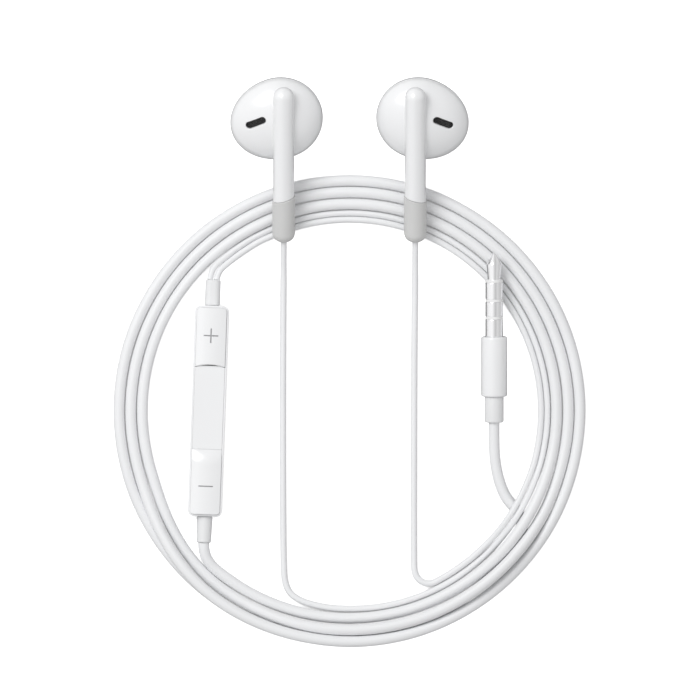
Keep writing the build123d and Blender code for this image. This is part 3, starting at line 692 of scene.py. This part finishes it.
def surface_of(field, low, high, cell):
    """The surface of a field inside a box: points, unit normals and four-cornered faces."""
    low, high = np.array(low, float), np.array(high, float)
    counts = np.ceil((high - low) / cell).astype(int) + 1
    axes = [low[axis] + cell * np.arange(counts[axis]) for axis in range(3)]
    grid = np.stack(np.meshgrid(*axes, indexing="ij"), axis=-1)
    values = field(grid.reshape(-1, 3)).reshape(counts)
    inside = values < 0
    places, active = crossings(values, inside)
    index = np.full(active.shape, -1)
    index[active] = np.arange(active.sum())
    quads = surface_quads(inside, index)
    points = (low + cell * (np.argwhere(active) + places[active]))
    for _ in range(3):
        gradient = slope(field, points)
        size = np.maximum((gradient**2).sum(axis=1, keepdims=True), 0.05)
        move = field(points)[:, None] * gradient / size
        points = points - np.clip(move, -0.4 * cell, 0.4 * cell)
    gradient = slope(field, points)
    length = np.maximum(np.linalg.norm(gradient, axis=1, keepdims=True), 1e-6)
    return points, gradient / length, quads


def mesh_of(name, surface, place, mirrored=False):
    """A mesh in metres from a surface in a local frame, mirrored in X if asked."""
    points, normals, quads = surface
    turn = np.array(place.to_3x3())
    points = (points @ turn.T + np.array(place.translation)) * MM
    normals = normals @ turn.T
    if mirrored:
        points = points * (-1, 1, 1)
        normals = normals * (-1, 1, 1)
        quads = quads[:, ::-1]
    mesh = bpy.data.meshes.new(name)
    mesh.from_pydata(points.tolist(), [], quads.tolist())
    mesh.polygons.foreach_set("use_smooth", [True] * len(quads))
    mesh.normals_split_custom_set_from_vertices(normals.tolist())
    mesh.update()
    return mesh


# ---------------------------------------------------------------- earbuds
def from_head(points):
    """Points of the bud's frame, from the head's centre, with X along the egg's long axis."""
    x, y, z = (points - HEAD_CENTRE).T
    turn = radians(HEAD_TURN)
    return x * cos(turn) - y * sin(turn), x * sin(turn) + y * cos(turn), z


def egg(points, inset):
    """The egg-shaped head, inset from its surface, as a distance."""
    along, across, depth = from_head(points)
    reach = np.where(along > 0, HEAD_OUTER_REACH, HEAD_INNER_REACH) - inset
    half = HEAD_HALF_HEIGHT - inset
    deep = np.where(depth > 0, HEAD_BACK_DEPTH, HEAD_FRONT_DEPTH) - inset
    scaled = np.sqrt((along / reach) ** 2 + (across / half) ** 2 + (depth / deep) ** 2)
    steep = np.sqrt(
        (along / reach**2) ** 2 + (across / half**2) ** 2 + (depth / deep**2) ** 2
    )
    return scaled * (scaled - 1) / np.maximum(steep, 1e-6)


def stem(points, radius):
    """A round bar up the stem with a domed top."""
    x, y, z = points.T
    above = np.maximum(y - (STEM_TOP - STEM_RADIUS), 0)
    return np.sqrt(x**2 + z**2 + above**2) - radius


def above_seam(points, gap):
    """Distance above the slanted seam between collar and stem."""
    x, y, _ = points.T
    slant = radians(COLLAR_SLANT)
    return gap - (x * sin(slant) + (y - COLLAR_LENGTH) * cos(slant))


def vent_place(points):
    """Points across and along the rear vent's slot."""
    x = points[:, 0] - HEAD_CENTRE[0] - VENT_PLACE[0]
    y = points[:, 1] - HEAD_CENTRE[1] - VENT_PLACE[1]
    turn = radians(VENT_TURN)
    return x * cos(turn) - y * sin(turn), x * sin(turn) + y * cos(turn)


def vent_slot(points, shrink):
    along, across = vent_place(points)
    run = np.maximum(np.abs(along) - (VENT_LENGTH - VENT_WIDTH) / 2, 0)
    return np.hypot(run, across) - VENT_WIDTH / 2 + shrink


def outlet(points, shrink):
    """The oval sound outlet in the front of the head."""
    along, across, depth = from_head(points)
    along = along - GRILLE_PLACE
    half_length = GRILLE_LENGTH / 2 - shrink
    half_width = GRILLE_WIDTH / 2 - shrink
    scaled = np.hypot(along / half_length, across / half_width)
    steep = np.hypot(along / half_length**2, across / half_width**2)
    oval = scaled * (scaled - 1) / np.maximum(steep, 1e-6)
    return np.maximum(oval, depth)


def rear_shell(points):
    depth = points[:, 2] - HEAD_CENTRE[2]
    outside = either(egg(points, 0), stem(points, STEM_RADIUS), STEM_EDGE)
    hollow = np.minimum(egg(points, HEAD_WALL), stem(points, STEM_RADIUS - STEM_WALL))
    shell = both(outside, -depth, SHELL_EDGE)
    shell = without(shell, hollow, INNER_EDGE)
    shell = without(shell, vent_slot(points, 0), SHELL_EDGE)
    return both(shell, above_seam(points, SEAM_GAP), STEM_EDGE)


def front_shell(points):
    depth = points[:, 2] - HEAD_CENTRE[2]
    shell = both(egg(points, 0), depth + PARTING_GAP, SHELL_EDGE)
    shell = without(shell, egg(points, HEAD_WALL), INNER_EDGE)
    lip_inside = egg(points, HEAD_WALL + LIP_WALL)
    lip = without(egg(points, HEAD_WALL + LIP_FIT), lip_inside, LIP_EDGE)
    lip = both(lip, np.abs(depth) - LIP_HEIGHT, LIP_EDGE)
    root = without(egg(points, HEAD_WALL - LIP_ROOT), lip_inside, FINE_EDGE)
    root = both(root, between(depth, -1.6 * LIP_HEIGHT, -PARTING_GAP), FINE_EDGE)
    shell = either(shell, np.minimum(lip, root), FINE_EDGE)
    return without(shell, outlet(points, 0), OUTLET_EDGE)


def sound_grille(points):
    along, across, _ = from_head(points)
    depth = egg(points, GRILLE_SUNK)
    weave = woven(along, across, depth, GRILLE_PITCH, GRILLE_WIRE)
    weave = np.maximum(weave, outlet(points, 0.2))
    rim = without(outlet(points, RIM_FIT), outlet(points, GRILLE_RIM_EDGE), FINE_EDGE)
    rim = both(rim, np.abs(depth) - 0.2, INNER_EDGE)
    return np.minimum(weave, rim)


def rear_vent(points):
    along, across = vent_place(points)
    depth = egg(points, VENT_SUNK)
    weave = woven(along, across, depth, VENT_PITCH, VENT_WIRE)
    weave = np.maximum(weave, vent_slot(points, 0.1))
    rim = without(vent_slot(points, RIM_FIT), vent_slot(points, VENT_RIM_EDGE), 0.03)
    rim = both(rim, np.abs(depth) - 0.16, FINE_EDGE)
    return np.minimum(weave, rim)


def collar(points):
    x, y, z = points.T
    around = np.hypot(x, z)
    outside = both(around - COLLAR_RADIUS, -y, COLLAR_ROUNDING)
    outside = both(outside, -above_seam(points, -SEAM_GAP), STEM_EDGE)
    spigot_radius = STEM_RADIUS - STEM_WALL - SPIGOT_FIT
    spigot_run = between(y, SPIGOT_START, COLLAR_LENGTH + SPIGOT_LENGTH)
    spigot = both(around - spigot_radius, spigot_run, STEM_EDGE)
    whole = np.minimum(outside, spigot)
    return without(whole, around - THIN_CORD / 2 - CORD_FIT, BORE_EDGE)


def make_buds():
    """Both earbuds: the right one's surfaces, and the same mirrored for the left.

    Each shape has its field, the two corners of the box that holds it, its cell and its slot.
    """
    head_x, head_y, head_z = HEAD_CENTRE
    wide = HEAD_OUTER_REACH + 0.6
    tall = HEAD_HALF_HEIGHT + 1.2
    vent_x, vent_y = head_x + VENT_PLACE[0], head_y + VENT_PLACE[1]
    sound_x = head_x + GRILLE_PLACE * cos(radians(HEAD_TURN))
    sound_y = head_y - GRILLE_PLACE * sin(radians(HEAD_TURN))
    shapes = {
        "rear_shell": (
            rear_shell,
            (head_x - wide, 7.5, head_z - 0.4),
            (head_x + wide, STEM_TOP + 1.5, STEM_RADIUS + 0.4),
            0.15,
            "white_gloss_plastic",
        ),
        "front_shell": (
            front_shell,
            (head_x - wide, head_y - tall, head_z - HEAD_FRONT_DEPTH - 0.4),
            (head_x + wide, head_y + tall, head_z + 1.2),
            0.17,
            "white_gloss_plastic",
        ),
        "sound_grille": (
            sound_grille,
            (sound_x - 4.2, sound_y - 3.4, head_z - HEAD_FRONT_DEPTH - 0.2),
            (sound_x + 4.2, sound_y + 3.4, head_z - 3.5),
            0.075,
            "black_mesh",
        ),
        "rear_vent": (
            rear_vent,
            (vent_x - 2.3, vent_y - 1.6, head_z + 2.2),
            (vent_x + 2.3, vent_y + 1.6, head_z + HEAD_BACK_DEPTH),
            0.045,
            "black_mesh",
        ),
        "stem_collar": (
            collar,
            (-2.6, -0.4, -2.6),
            (2.6, COLLAR_LENGTH + SPIGOT_LENGTH + 0.4, 2.6),
            0.12,
            "grey_collar_plastic",
        ),
    }
    for name, (field, low, high, cell, slot) in shapes.items():
        surface = surface_of(field, low, high, cell)
        for side, mirrored in (("right", False), ("left", True)):
            whole = f"{side}_{name}"
            mesh = mesh_of(f"{whole}_moulded", surface, bud_frame(), mirrored)
            add_piece(f"{whole}_moulded", mesh, slot, stands_for=[whole])


# ---------------------------------------------------------------- remote
def remote_outline(points, inset):
    x, y, _ = points.T
    half_width = REMOTE_WIDTH / 2 - inset
    half_length = REMOTE_LENGTH / 2 - inset
    return rounded_rectangle(x, y, half_width, half_length, REMOTE_CORNER - inset)


def top_boot_section(points, shrink):
    x, _, z = points.T
    half_depth = TOP_BOOT_DEPTH / 2 - shrink
    half_width = TOP_BOOT_WIDTH / 2 - shrink
    return rounded_rectangle(x, z - BOOT_AXIS_HEIGHT, half_width, half_depth, half_depth)


def remote_shell(points):
    x, y, z = points.T
    outside = both(remote_outline(points, 0), -z, REMOTE_EDGE)
    outside = both(outside, z - SHELL_HEIGHT, RIM_EDGE)
    hollow = np.maximum(remote_outline(points, SHELL_WALL), SHELL_FLOOR - z)
    shell = without(outside, hollow, RIM_EDGE)
    hole = np.hypot(x, y - MICROPHONE_PLACE) - SOUND_HOLE_RADIUS
    shell = without(shell, hole, HOLE_EDGE)
    neck_shrink = TOP_BOOT_DEPTH / 2 - BOOT_NECK_RADIUS - BOOT_FIT
    upper = np.maximum(top_boot_section(points, neck_shrink), -y)
    lower = np.hypot(x, z - BOOT_AXIS_HEIGHT) - BOOT_NECK_RADIUS - BOOT_FIT
    shell = without(shell, upper, SLOT_EDGE)
    return without(shell, np.maximum(lower, y), SLOT_EDGE)


def key_outline(points):
    """The outline that the three keys share, down to their underside."""
    inset = SHELL_WALL + KEY_GAP
    x, y, z = points.T
    half_width = REMOTE_WIDTH / 2 - inset
    outline = rounded_rectangle(x, y, half_width, REMOTE_LENGTH / 2 - inset, KEY_CORNER)
    return both(outline, KEY_UNDERSIDE - z, KEY_UNDER_EDGE)


def from_top(points, distance):
    """How far a point is below a line across the remote, measured from its upper end."""
    return REMOTE_LENGTH / 2 - distance - points[:, 1]


def arch(points, gap):
    """The round end of the centre key, which the plus key's lower end is arched over."""
    half_width = REMOTE_WIDTH / 2 - SHELL_WALL - KEY_GAP
    radius = (half_width**2 + LIP_ARCH**2) / (2 * LIP_ARCH)
    middle = REMOTE_LENGTH / 2 - PLUS_KEY_END + LIP_ARCH - radius
    return np.hypot(points[:, 0], points[:, 1] - middle) - radius + gap


def crown(points):
    x, _, z = points.T
    return np.hypot(x, z - REMOTE_HEIGHT + KEY_CROWN_RADIUS) - KEY_CROWN_RADIUS


def sign_bar(points, place, across):
    x, y, _ = points.T
    half_width, half_length = SIGN_WIDTH / 2, SIGN_LENGTH / 2
    if across:
        half_width, half_length = half_length, half_width
    return rounded_rectangle(x, y - place, half_width, half_length, SIGN_CORNER)


def plus_sign(points):
    place = REMOTE_LENGTH / 2 - SIGN_PLACE
    return np.minimum(sign_bar(points, place, True), sign_bar(points, place, False))


def minus_sign(points):
    return sign_bar(points, SIGN_PLACE - REMOTE_LENGTH / 2, True)


def engraved(key, sign, points):
    cut = np.maximum(sign(points), -SIGN_DEPTH - crown(points))
    return without(key, cut, SIGN_EDGE)


def plus_key(points):
    key = both(key_outline(points), crown(points), KEY_SIDE_ROUNDING)
    key = both(key, from_top(points, PLUS_KEY_END), KEY_END_EDGE)
    key = without(key, arch(points, 0), LIP_ROUNDING)
    return engraved(key, plus_sign, points)


def centre_key(points):
    upper_end = np.minimum(arch(points, 2 * KEY_GAP), -from_top(points, PLUS_KEY_END + LIP_ARCH))
    key = both(key_outline(points), upper_end, KEY_END_EDGE)
    lower_end = from_top(points, REMOTE_LENGTH - MINUS_KEY_END - 2 * KEY_GAP)
    key = both(key, lower_end, KEY_SEAM_EDGE)
    return both(key, points[:, 2] - CENTRE_KEY_TOP, KEY_SEAM_EDGE)


def minus_key(points):
    start = REMOTE_LENGTH - MINUS_KEY_END
    ramp_top = REMOTE_LENGTH / 2 - start
    rise = REMOTE_HEIGHT - CENTRE_KEY_TOP
    length = np.hypot(rise, MINUS_RAMP_LENGTH)
    above = (points[:, 2] - CENTRE_KEY_TOP) * MINUS_RAMP_LENGTH
    ramp = (above - (ramp_top - points[:, 1]) * rise) / length
    top = both(crown(points), ramp, RAMP_ROUNDING)
    key = both(key_outline(points), top, KEY_SIDE_ROUNDING)
    key = both(key, -from_top(points, start), KEY_SEAM_EDGE)
    return engraved(key, minus_sign, points)


def top_boot(points):
    y = points[:, 1]
    start = REMOTE_LENGTH / 2
    sleeve = between(y, start, start + TOP_BOOT_LENGTH)
    sleeve = both(top_boot_section(points, 0), sleeve, BOOT_ROUNDING)
    neck_shrink = TOP_BOOT_DEPTH / 2 - BOOT_NECK_RADIUS
    neck = top_boot_section(points, neck_shrink)
    neck_run = between(y, start - SHELL_WALL - NECK_PAST, start + NECK_SUNK)
    neck = both(neck, neck_run, SLOT_EDGE)
    flange = top_boot_section(points, neck_shrink - BOOT_FLANGE_STEP)
    flange_top = start - SHELL_WALL
    flange_run = between(y, flange_top - BOOT_FLANGE_THICKNESS, flange_top)
    flange = both(flange, flange_run, BOOT_FLANGE_EDGE)
    return np.minimum(np.minimum(sleeve, neck), flange)


def bottom_boot(points):
    x, y, z = points.T
    start = -REMOTE_LENGTH / 2
    around = np.hypot(x, z - BOOT_AXIS_HEIGHT)
    wide, narrow = BOTTOM_BOOT_RADII
    radius = wide + (narrow - wide) * (start - y) / BOTTOM_BOOT_LENGTH
    sleeve = both(around - radius, between(y, start - BOTTOM_BOOT_LENGTH, start), BOOT_ROUNDING)
    neck_run = between(y, start - NECK_SUNK, start + SHELL_WALL + NECK_PAST)
    neck = both(around - BOOT_NECK_RADIUS, neck_run, SLOT_EDGE)
    flange_low = start + SHELL_WALL
    flange_run = between(y, flange_low, flange_low + BOOT_FLANGE_THICKNESS)
    flange_radius = BOOT_NECK_RADIUS + BOOT_FLANGE_STEP
    flange = both(around - flange_radius, flange_run, BOOT_FLANGE_EDGE)
    return np.minimum(np.minimum(sleeve, neck), flange)


def shade_sign_grooves(piece, surface, sign):
    """Paints the floor of an engraved sign a darker grey, as painted shade in the groove."""
    piece.data.materials.append(materials["sign_groove_shade"])
    points, _, quads = surface
    middles = points[quads].mean(axis=1)
    in_groove = (sign(middles) < 0.03) & (crown(middles) < -0.03)
    in_groove &= crown(middles) > -2 * SIGN_DEPTH
    piece.data.polygons.foreach_set("material_index", in_groove.astype(int).tolist())


def make_remote():
    """The remote's shell, keys and boots; returns every shown piece of the remote."""
    half_width = REMOTE_WIDTH / 2 + 0.3
    half_length = REMOTE_LENGTH / 2

    def key_box(start, end):
        low = (-half_width, half_length - end - 0.3, KEY_UNDERSIDE - 0.3)
        return low, (half_width, half_length - start + 0.3, REMOTE_HEIGHT + 0.3)

    shapes = {
        "remote_rear_shell": (
            remote_shell,
            (-half_width, -half_length - 0.3, -0.3),
            (half_width, half_length + 0.3, SHELL_HEIGHT + 0.3),
            0.13,
            "white_gloss_plastic",
            BODY,
        ),
        "plus_button": (
            plus_key, *key_box(0, PLUS_KEY_END), 0.065, "white_gloss_plastic", "plus_key",
        ),
        "centre_button": (
            centre_key,
            *key_box(PLUS_KEY_END, REMOTE_LENGTH - MINUS_KEY_END),
            0.065,
            "white_gloss_plastic",
            "centre_key",
        ),
        "minus_button": (
            minus_key,
            *key_box(REMOTE_LENGTH - MINUS_KEY_END, REMOTE_LENGTH),
            0.065,
            "white_gloss_plastic",
            "minus_key",
        ),
        "remote_top_boot": (
            top_boot,
            (-2.0, half_length - 1.6, 0.4),
            (2.0, half_length + TOP_BOOT_LENGTH + 0.4, 4.0),
            0.1,
            "soft_white_plastic",
            BODY,
        ),
        "remote_bottom_boot": (
            bottom_boot,
            (-2.0, -half_length - BOTTOM_BOOT_LENGTH - 0.4, 0.2),
            (2.0, -half_length + 1.6, 4.2),
            0.1,
            "soft_white_plastic",
            BODY,
        ),
    }
    signs = {"plus_button": plus_sign, "minus_button": minus_sign}
    made = []
    for name, (field, low, high, cell, slot, body) in shapes.items():
        surface = surface_of(field, low, high, cell)
        mesh = mesh_of(f"{name}_moulded", surface, remote_frame())
        piece = add_piece(f"{name}_moulded", mesh, slot, body, stands_for=[name])
        if name in signs:
            shade_sign_grooves(piece, surface, signs[name])
        made.append(piece)
    inner = [
        "remote_inner_frame",
        "circuit_board",
        "controller_chip",
        "switch_bases",
        "microphone",
        "microphone_mesh",
        "plus_plunger",
        "centre_plunger",
        "minus_plunger",
    ]
    return made + [frame["nodes"][name] for name in inner]


# ---------------------------------------------------------------- plug
def lathe(name, profile, place, around=96):
    """A mesh turned about the local Z from a closed loop of (radius, height) points."""
    points = []
    for radius, height in profile:
        for number in range(around):
            angle = 2 * np.pi * number / around
            points.append((radius * cos(angle), radius * sin(angle), height))
    faces = []
    for row in range(len(profile)):
        other = (row + 1) % len(profile)
        for number in range(around):
            after = (number + 1) % around
            faces.append(
                (
                    row * around + number,
                    row * around + after,
                    other * around + after,
                    other * around + number,
                )
            )
    mesh = bpy.data.meshes.new(name)
    placed = [tuple((place @ Vector(point)) * MM) for point in points]
    mesh.from_pydata(placed, [], faces)
    mesh.polygons.foreach_set("use_smooth", [True] * len(faces))
    mesh.set_sharp_from_angle(angle=radians(35))
    mesh.update()
    return mesh


def rounded_end(radius, height, rounding, up, steps=6):
    """Profile points of a rounded outer corner, in the order of a loop that goes up outside."""
    sign = 1 if up else -1
    corner = []
    for number in range(steps + 1):
        angle = np.pi / 2 * number / steps
        across = radius - rounding + rounding * cos(angle)
        corner.append((across, height + sign * rounding * (sin(angle) - 1)))
    return corner if up else corner[::-1]


def tube_profile(outer, inner, low, high, rounding):
    """A closed loop for a tube with rounded outer corners."""
    loop = [(inner, low)] + rounded_end(outer, low, rounding, False)
    return loop + rounded_end(outer, high, rounding, True) + [(inner, high)]


def tip_profile(start):
    """The tip's neck, shoulder and cone, smoothed a little."""
    shares = np.linspace(0, 1, 60)
    radii = np.interp(shares, *zip(*TIP_PROFILE))
    radii[1:-1] = (radii[:-2] + radii[1:-1] * 2 + radii[2:]) / 4
    outside = [(r * PLUG_RADIUS, start + share * PLUG_TIP) for share, r in zip(shares, radii)]
    return [(TIP_HOLE, start)] + outside + [(TIP_HOLE, start + PLUG_TIP)]


def make_plug():
    """The plug's contacts, insulators, body and neck; returns every shown piece of the plug."""
    bore = PLUG_CORE_RADIUS + PLUG_CORE_FIT
    profiles = {}
    start = 0.0
    for number, (name, length) in enumerate(PLUG_SECTIONS, start=1):
        end = start + length
        contact = tube_profile(PLUG_RADIUS, bore, start, end, PLUG_CONTACT_EDGE)
        profiles[name] = (contact, "contact_metal")
        start = end + INSULATOR_WIDTH
        insulator = tube_profile(PLUG_RADIUS - INSULATOR_STEP, bore, end, start, INSULATOR_EDGE)
        profiles[f"plug_insulator_{number}"] = (insulator, "insulator_plastic")
    profiles["plug_tip"] = (tip_profile(start), "contact_metal")
    body_low = -PLUG_BODY_LENGTH
    body = tube_profile(PLUG_BODY_RADIUS, bore, body_low, 0, PLUG_BODY_ROUNDING)
    profiles["plug_body"] = (body, "white_gloss_plastic")
    neck_low = body_low - PLUG_NECK_LENGTH
    neck = tube_profile(
        PLUG_NECK_RADIUS, PLUG_NECK_BORE, neck_low, body_low, PLUG_NECK_ROUNDING
    )
    profiles["plug_neck"] = (neck, "soft_white_plastic")
    made = []
    for name, (profile, slot) in profiles.items():
        mesh = lathe(f"{name}_turned", profile, plug_frame())
        made.append(add_piece(f"{name}_turned", mesh, slot, stands_for=[name]))
    return made + [frame["nodes"]["plug_core"]]


# ---------------------------------------------------------------- CAD pieces that stay
def finish_cad_nodes():
    """Gives each CAD node that still shows the material of its slot in the record."""
    for part in frame["record"]["subparts"]:
        cad_object = frame["nodes"][part["node"]]
        if cad_object.hide_render:
            continue
        for slot in cad_object.material_slots:
            slot.material = materials[part["material_slot"]]


# ---------------------------------------------------------------- table and light
def stage_plane(name, height, material):
    half = TABLE_HALF
    low = height * MM
    mesh = bpy.data.meshes.new(name)
    corners = [(-half, -half, low), (half, -half, low), (half, half, low), (-half, half, low)]
    mesh.from_pydata(corners, [], [(0, 1, 2, 3)])
    mesh.materials.append(material)
    plane = bpy.data.objects.new(name, mesh)
    bpy.context.scene.collection.objects.link(plane)
    return plane


def set_floor():
    """A white table top with a painted glow, which ambient occlusion dims into painted shade
    in gaps and next to the pieces, over a duller card that lights the undersides of the pieces."""
    made = plastic("table_white", (0.85, 0.85, 0.85), 0.9, shade=0.0, relief=0.0)
    tree = made.node_tree
    shader = tree.nodes["Principled BSDF"]
    shader.inputs["Specular IOR Level"].default_value = 0.0
    # painted shade: the glow is dimmed by ambient occlusion in the gaps between cords and next to
    # the pieces
    contact_shade = node(tree, "ShaderNodeAmbientOcclusion", Distance=TABLE_SHADE * MM, samples=8)
    glow = node(tree, "ShaderNodeMath", operation="MULTIPLY")
    glow.inputs[1].default_value = TABLE_GLOW
    tree.links.new(contact_shade.outputs["AO"], glow.inputs[0])
    shader.inputs["Emission Color"].default_value = (1, 1, 1, 1)
    tree.links.new(glow.outputs["Value"], shader.inputs["Emission Strength"])
    top = stage_plane("table_top", TABLE_TOP, made)
    top.visible_glossy = False
    top.visible_diffuse = False
    top.visible_shadow = False
    dull = plastic("table_card", (BOUNCE, BOUNCE, BOUNCE), 0.9, shade=0.0, relief=0.0)
    card = stage_plane("table_card", TABLE_CARD, dull)
    card.visible_camera = False
    card.visible_glossy = False


def set_light():
    """One large soft lamp, above and to the left of the earbuds."""
    light = bpy.data.lights.new("key", "AREA")
    light.shape = "SQUARE"
    light.size = KEY_SIZE
    light.energy = KEY_POWER
    light_object = bpy.data.objects.new("key", light)
    light_object.location = KEY_LIGHT
    aim = Vector(KEY_TARGET) - Vector(KEY_LIGHT)
    light_object.rotation_euler = aim.to_track_quat("-Z", "Y").to_euler()
    bpy.context.scene.collection.objects.link(light_object)


def shaded_by(tree, value, low, high, marks):
    """A grey that follows marks of (share, brightness) as a value goes from low to high."""
    share = tree.nodes.new("ShaderNodeMapRange")
    share.inputs["From Min"].default_value = low
    share.inputs["From Max"].default_value = high
    tree.links.new(value, share.inputs["Value"])
    ramp = tree.nodes.new("ShaderNodeValToRGB")
    elements = ramp.color_ramp.elements
    while len(elements) < len(marks):
        elements.new(0.5)
    for element, (position, grey) in zip(elements, marks):
        element.position = position
        element.color = (grey, grey, grey, 1)
    tree.links.new(share.outputs["Result"], ramp.inputs["Fac"])
    return ramp.outputs["Color"]


def chosen(tree, pick, otherwise, chosen_colour):
    """One colour or the other, by what kind of ray asks."""
    mix = tree.nodes.new("ShaderNodeMix")
    mix.data_type = "RGBA"
    tree.links.new(pick, mix.inputs["Factor"])
    for socket, colour in (("A", otherwise), ("B", chosen_colour)):
        inputs = [found for found in mix.inputs if found.name == socket and found.type == "RGBA"]
        if isinstance(colour, tuple):
            inputs[0].default_value = colour
        else:
            tree.links.new(colour, inputs[0])
    return [found for found in mix.outputs if found.type == "RGBA"][0]


def set_world():
    """A plain studio: soft light from overhead, bright walls for the metal to reflect, the left
    one brighter, a dark floor far below, and white behind everything."""
    world = bpy.data.worlds.new("studio")
    world.use_nodes = True
    tree = world.node_tree
    place = tree.nodes.new("ShaderNodeTexCoord")
    split = tree.nodes.new("ShaderNodeSeparateXYZ")
    tree.links.new(place.outputs["Generated"], split.inputs["Vector"])
    across, up = split.outputs["X"], split.outputs["Z"]
    overhead = shaded_by(tree, up, 0.0, 1.0, SKY)
    walls = shaded_by(tree, across, -1.0, 1.0, WALLS)
    floor_marks = ((0.0, FLOOR_SHADE), (1.0, 1.0))
    floor = shaded_by(tree, up, FLOOR_EDGE - FLOOR_BLUR, FLOOR_EDGE, floor_marks)
    reflected = tree.nodes.new("ShaderNodeMix")
    reflected.data_type = "RGBA"
    reflected.blend_type = "MULTIPLY"
    reflected.inputs["Factor"].default_value = 1.0
    colours = [found for found in reflected.inputs if found.type == "RGBA"]
    tree.links.new(walls, colours[0])
    tree.links.new(floor, colours[1])
    room = [found for found in reflected.outputs if found.type == "RGBA"][0]
    ray = tree.nodes.new("ShaderNodeLightPath")
    seen = chosen(tree, ray.outputs["Is Glossy Ray"], overhead, room)
    backdrop = (BACKDROP, BACKDROP, BACKDROP, 1)
    seen = chosen(tree, ray.outputs["Is Camera Ray"], seen, backdrop)
    tree.links.new(seen, tree.nodes["Background"].inputs["Color"])
    bpy.context.scene.world = world


set_camera()
materials = make_materials()
cords = make_cords()
make_buds()
remote_pieces = make_remote()
plug_pieces = make_plug()
finish_cad_nodes()
set_floor()
set_world()
set_light()
bpy.context.scene.view_settings.view_transform = "Standard"
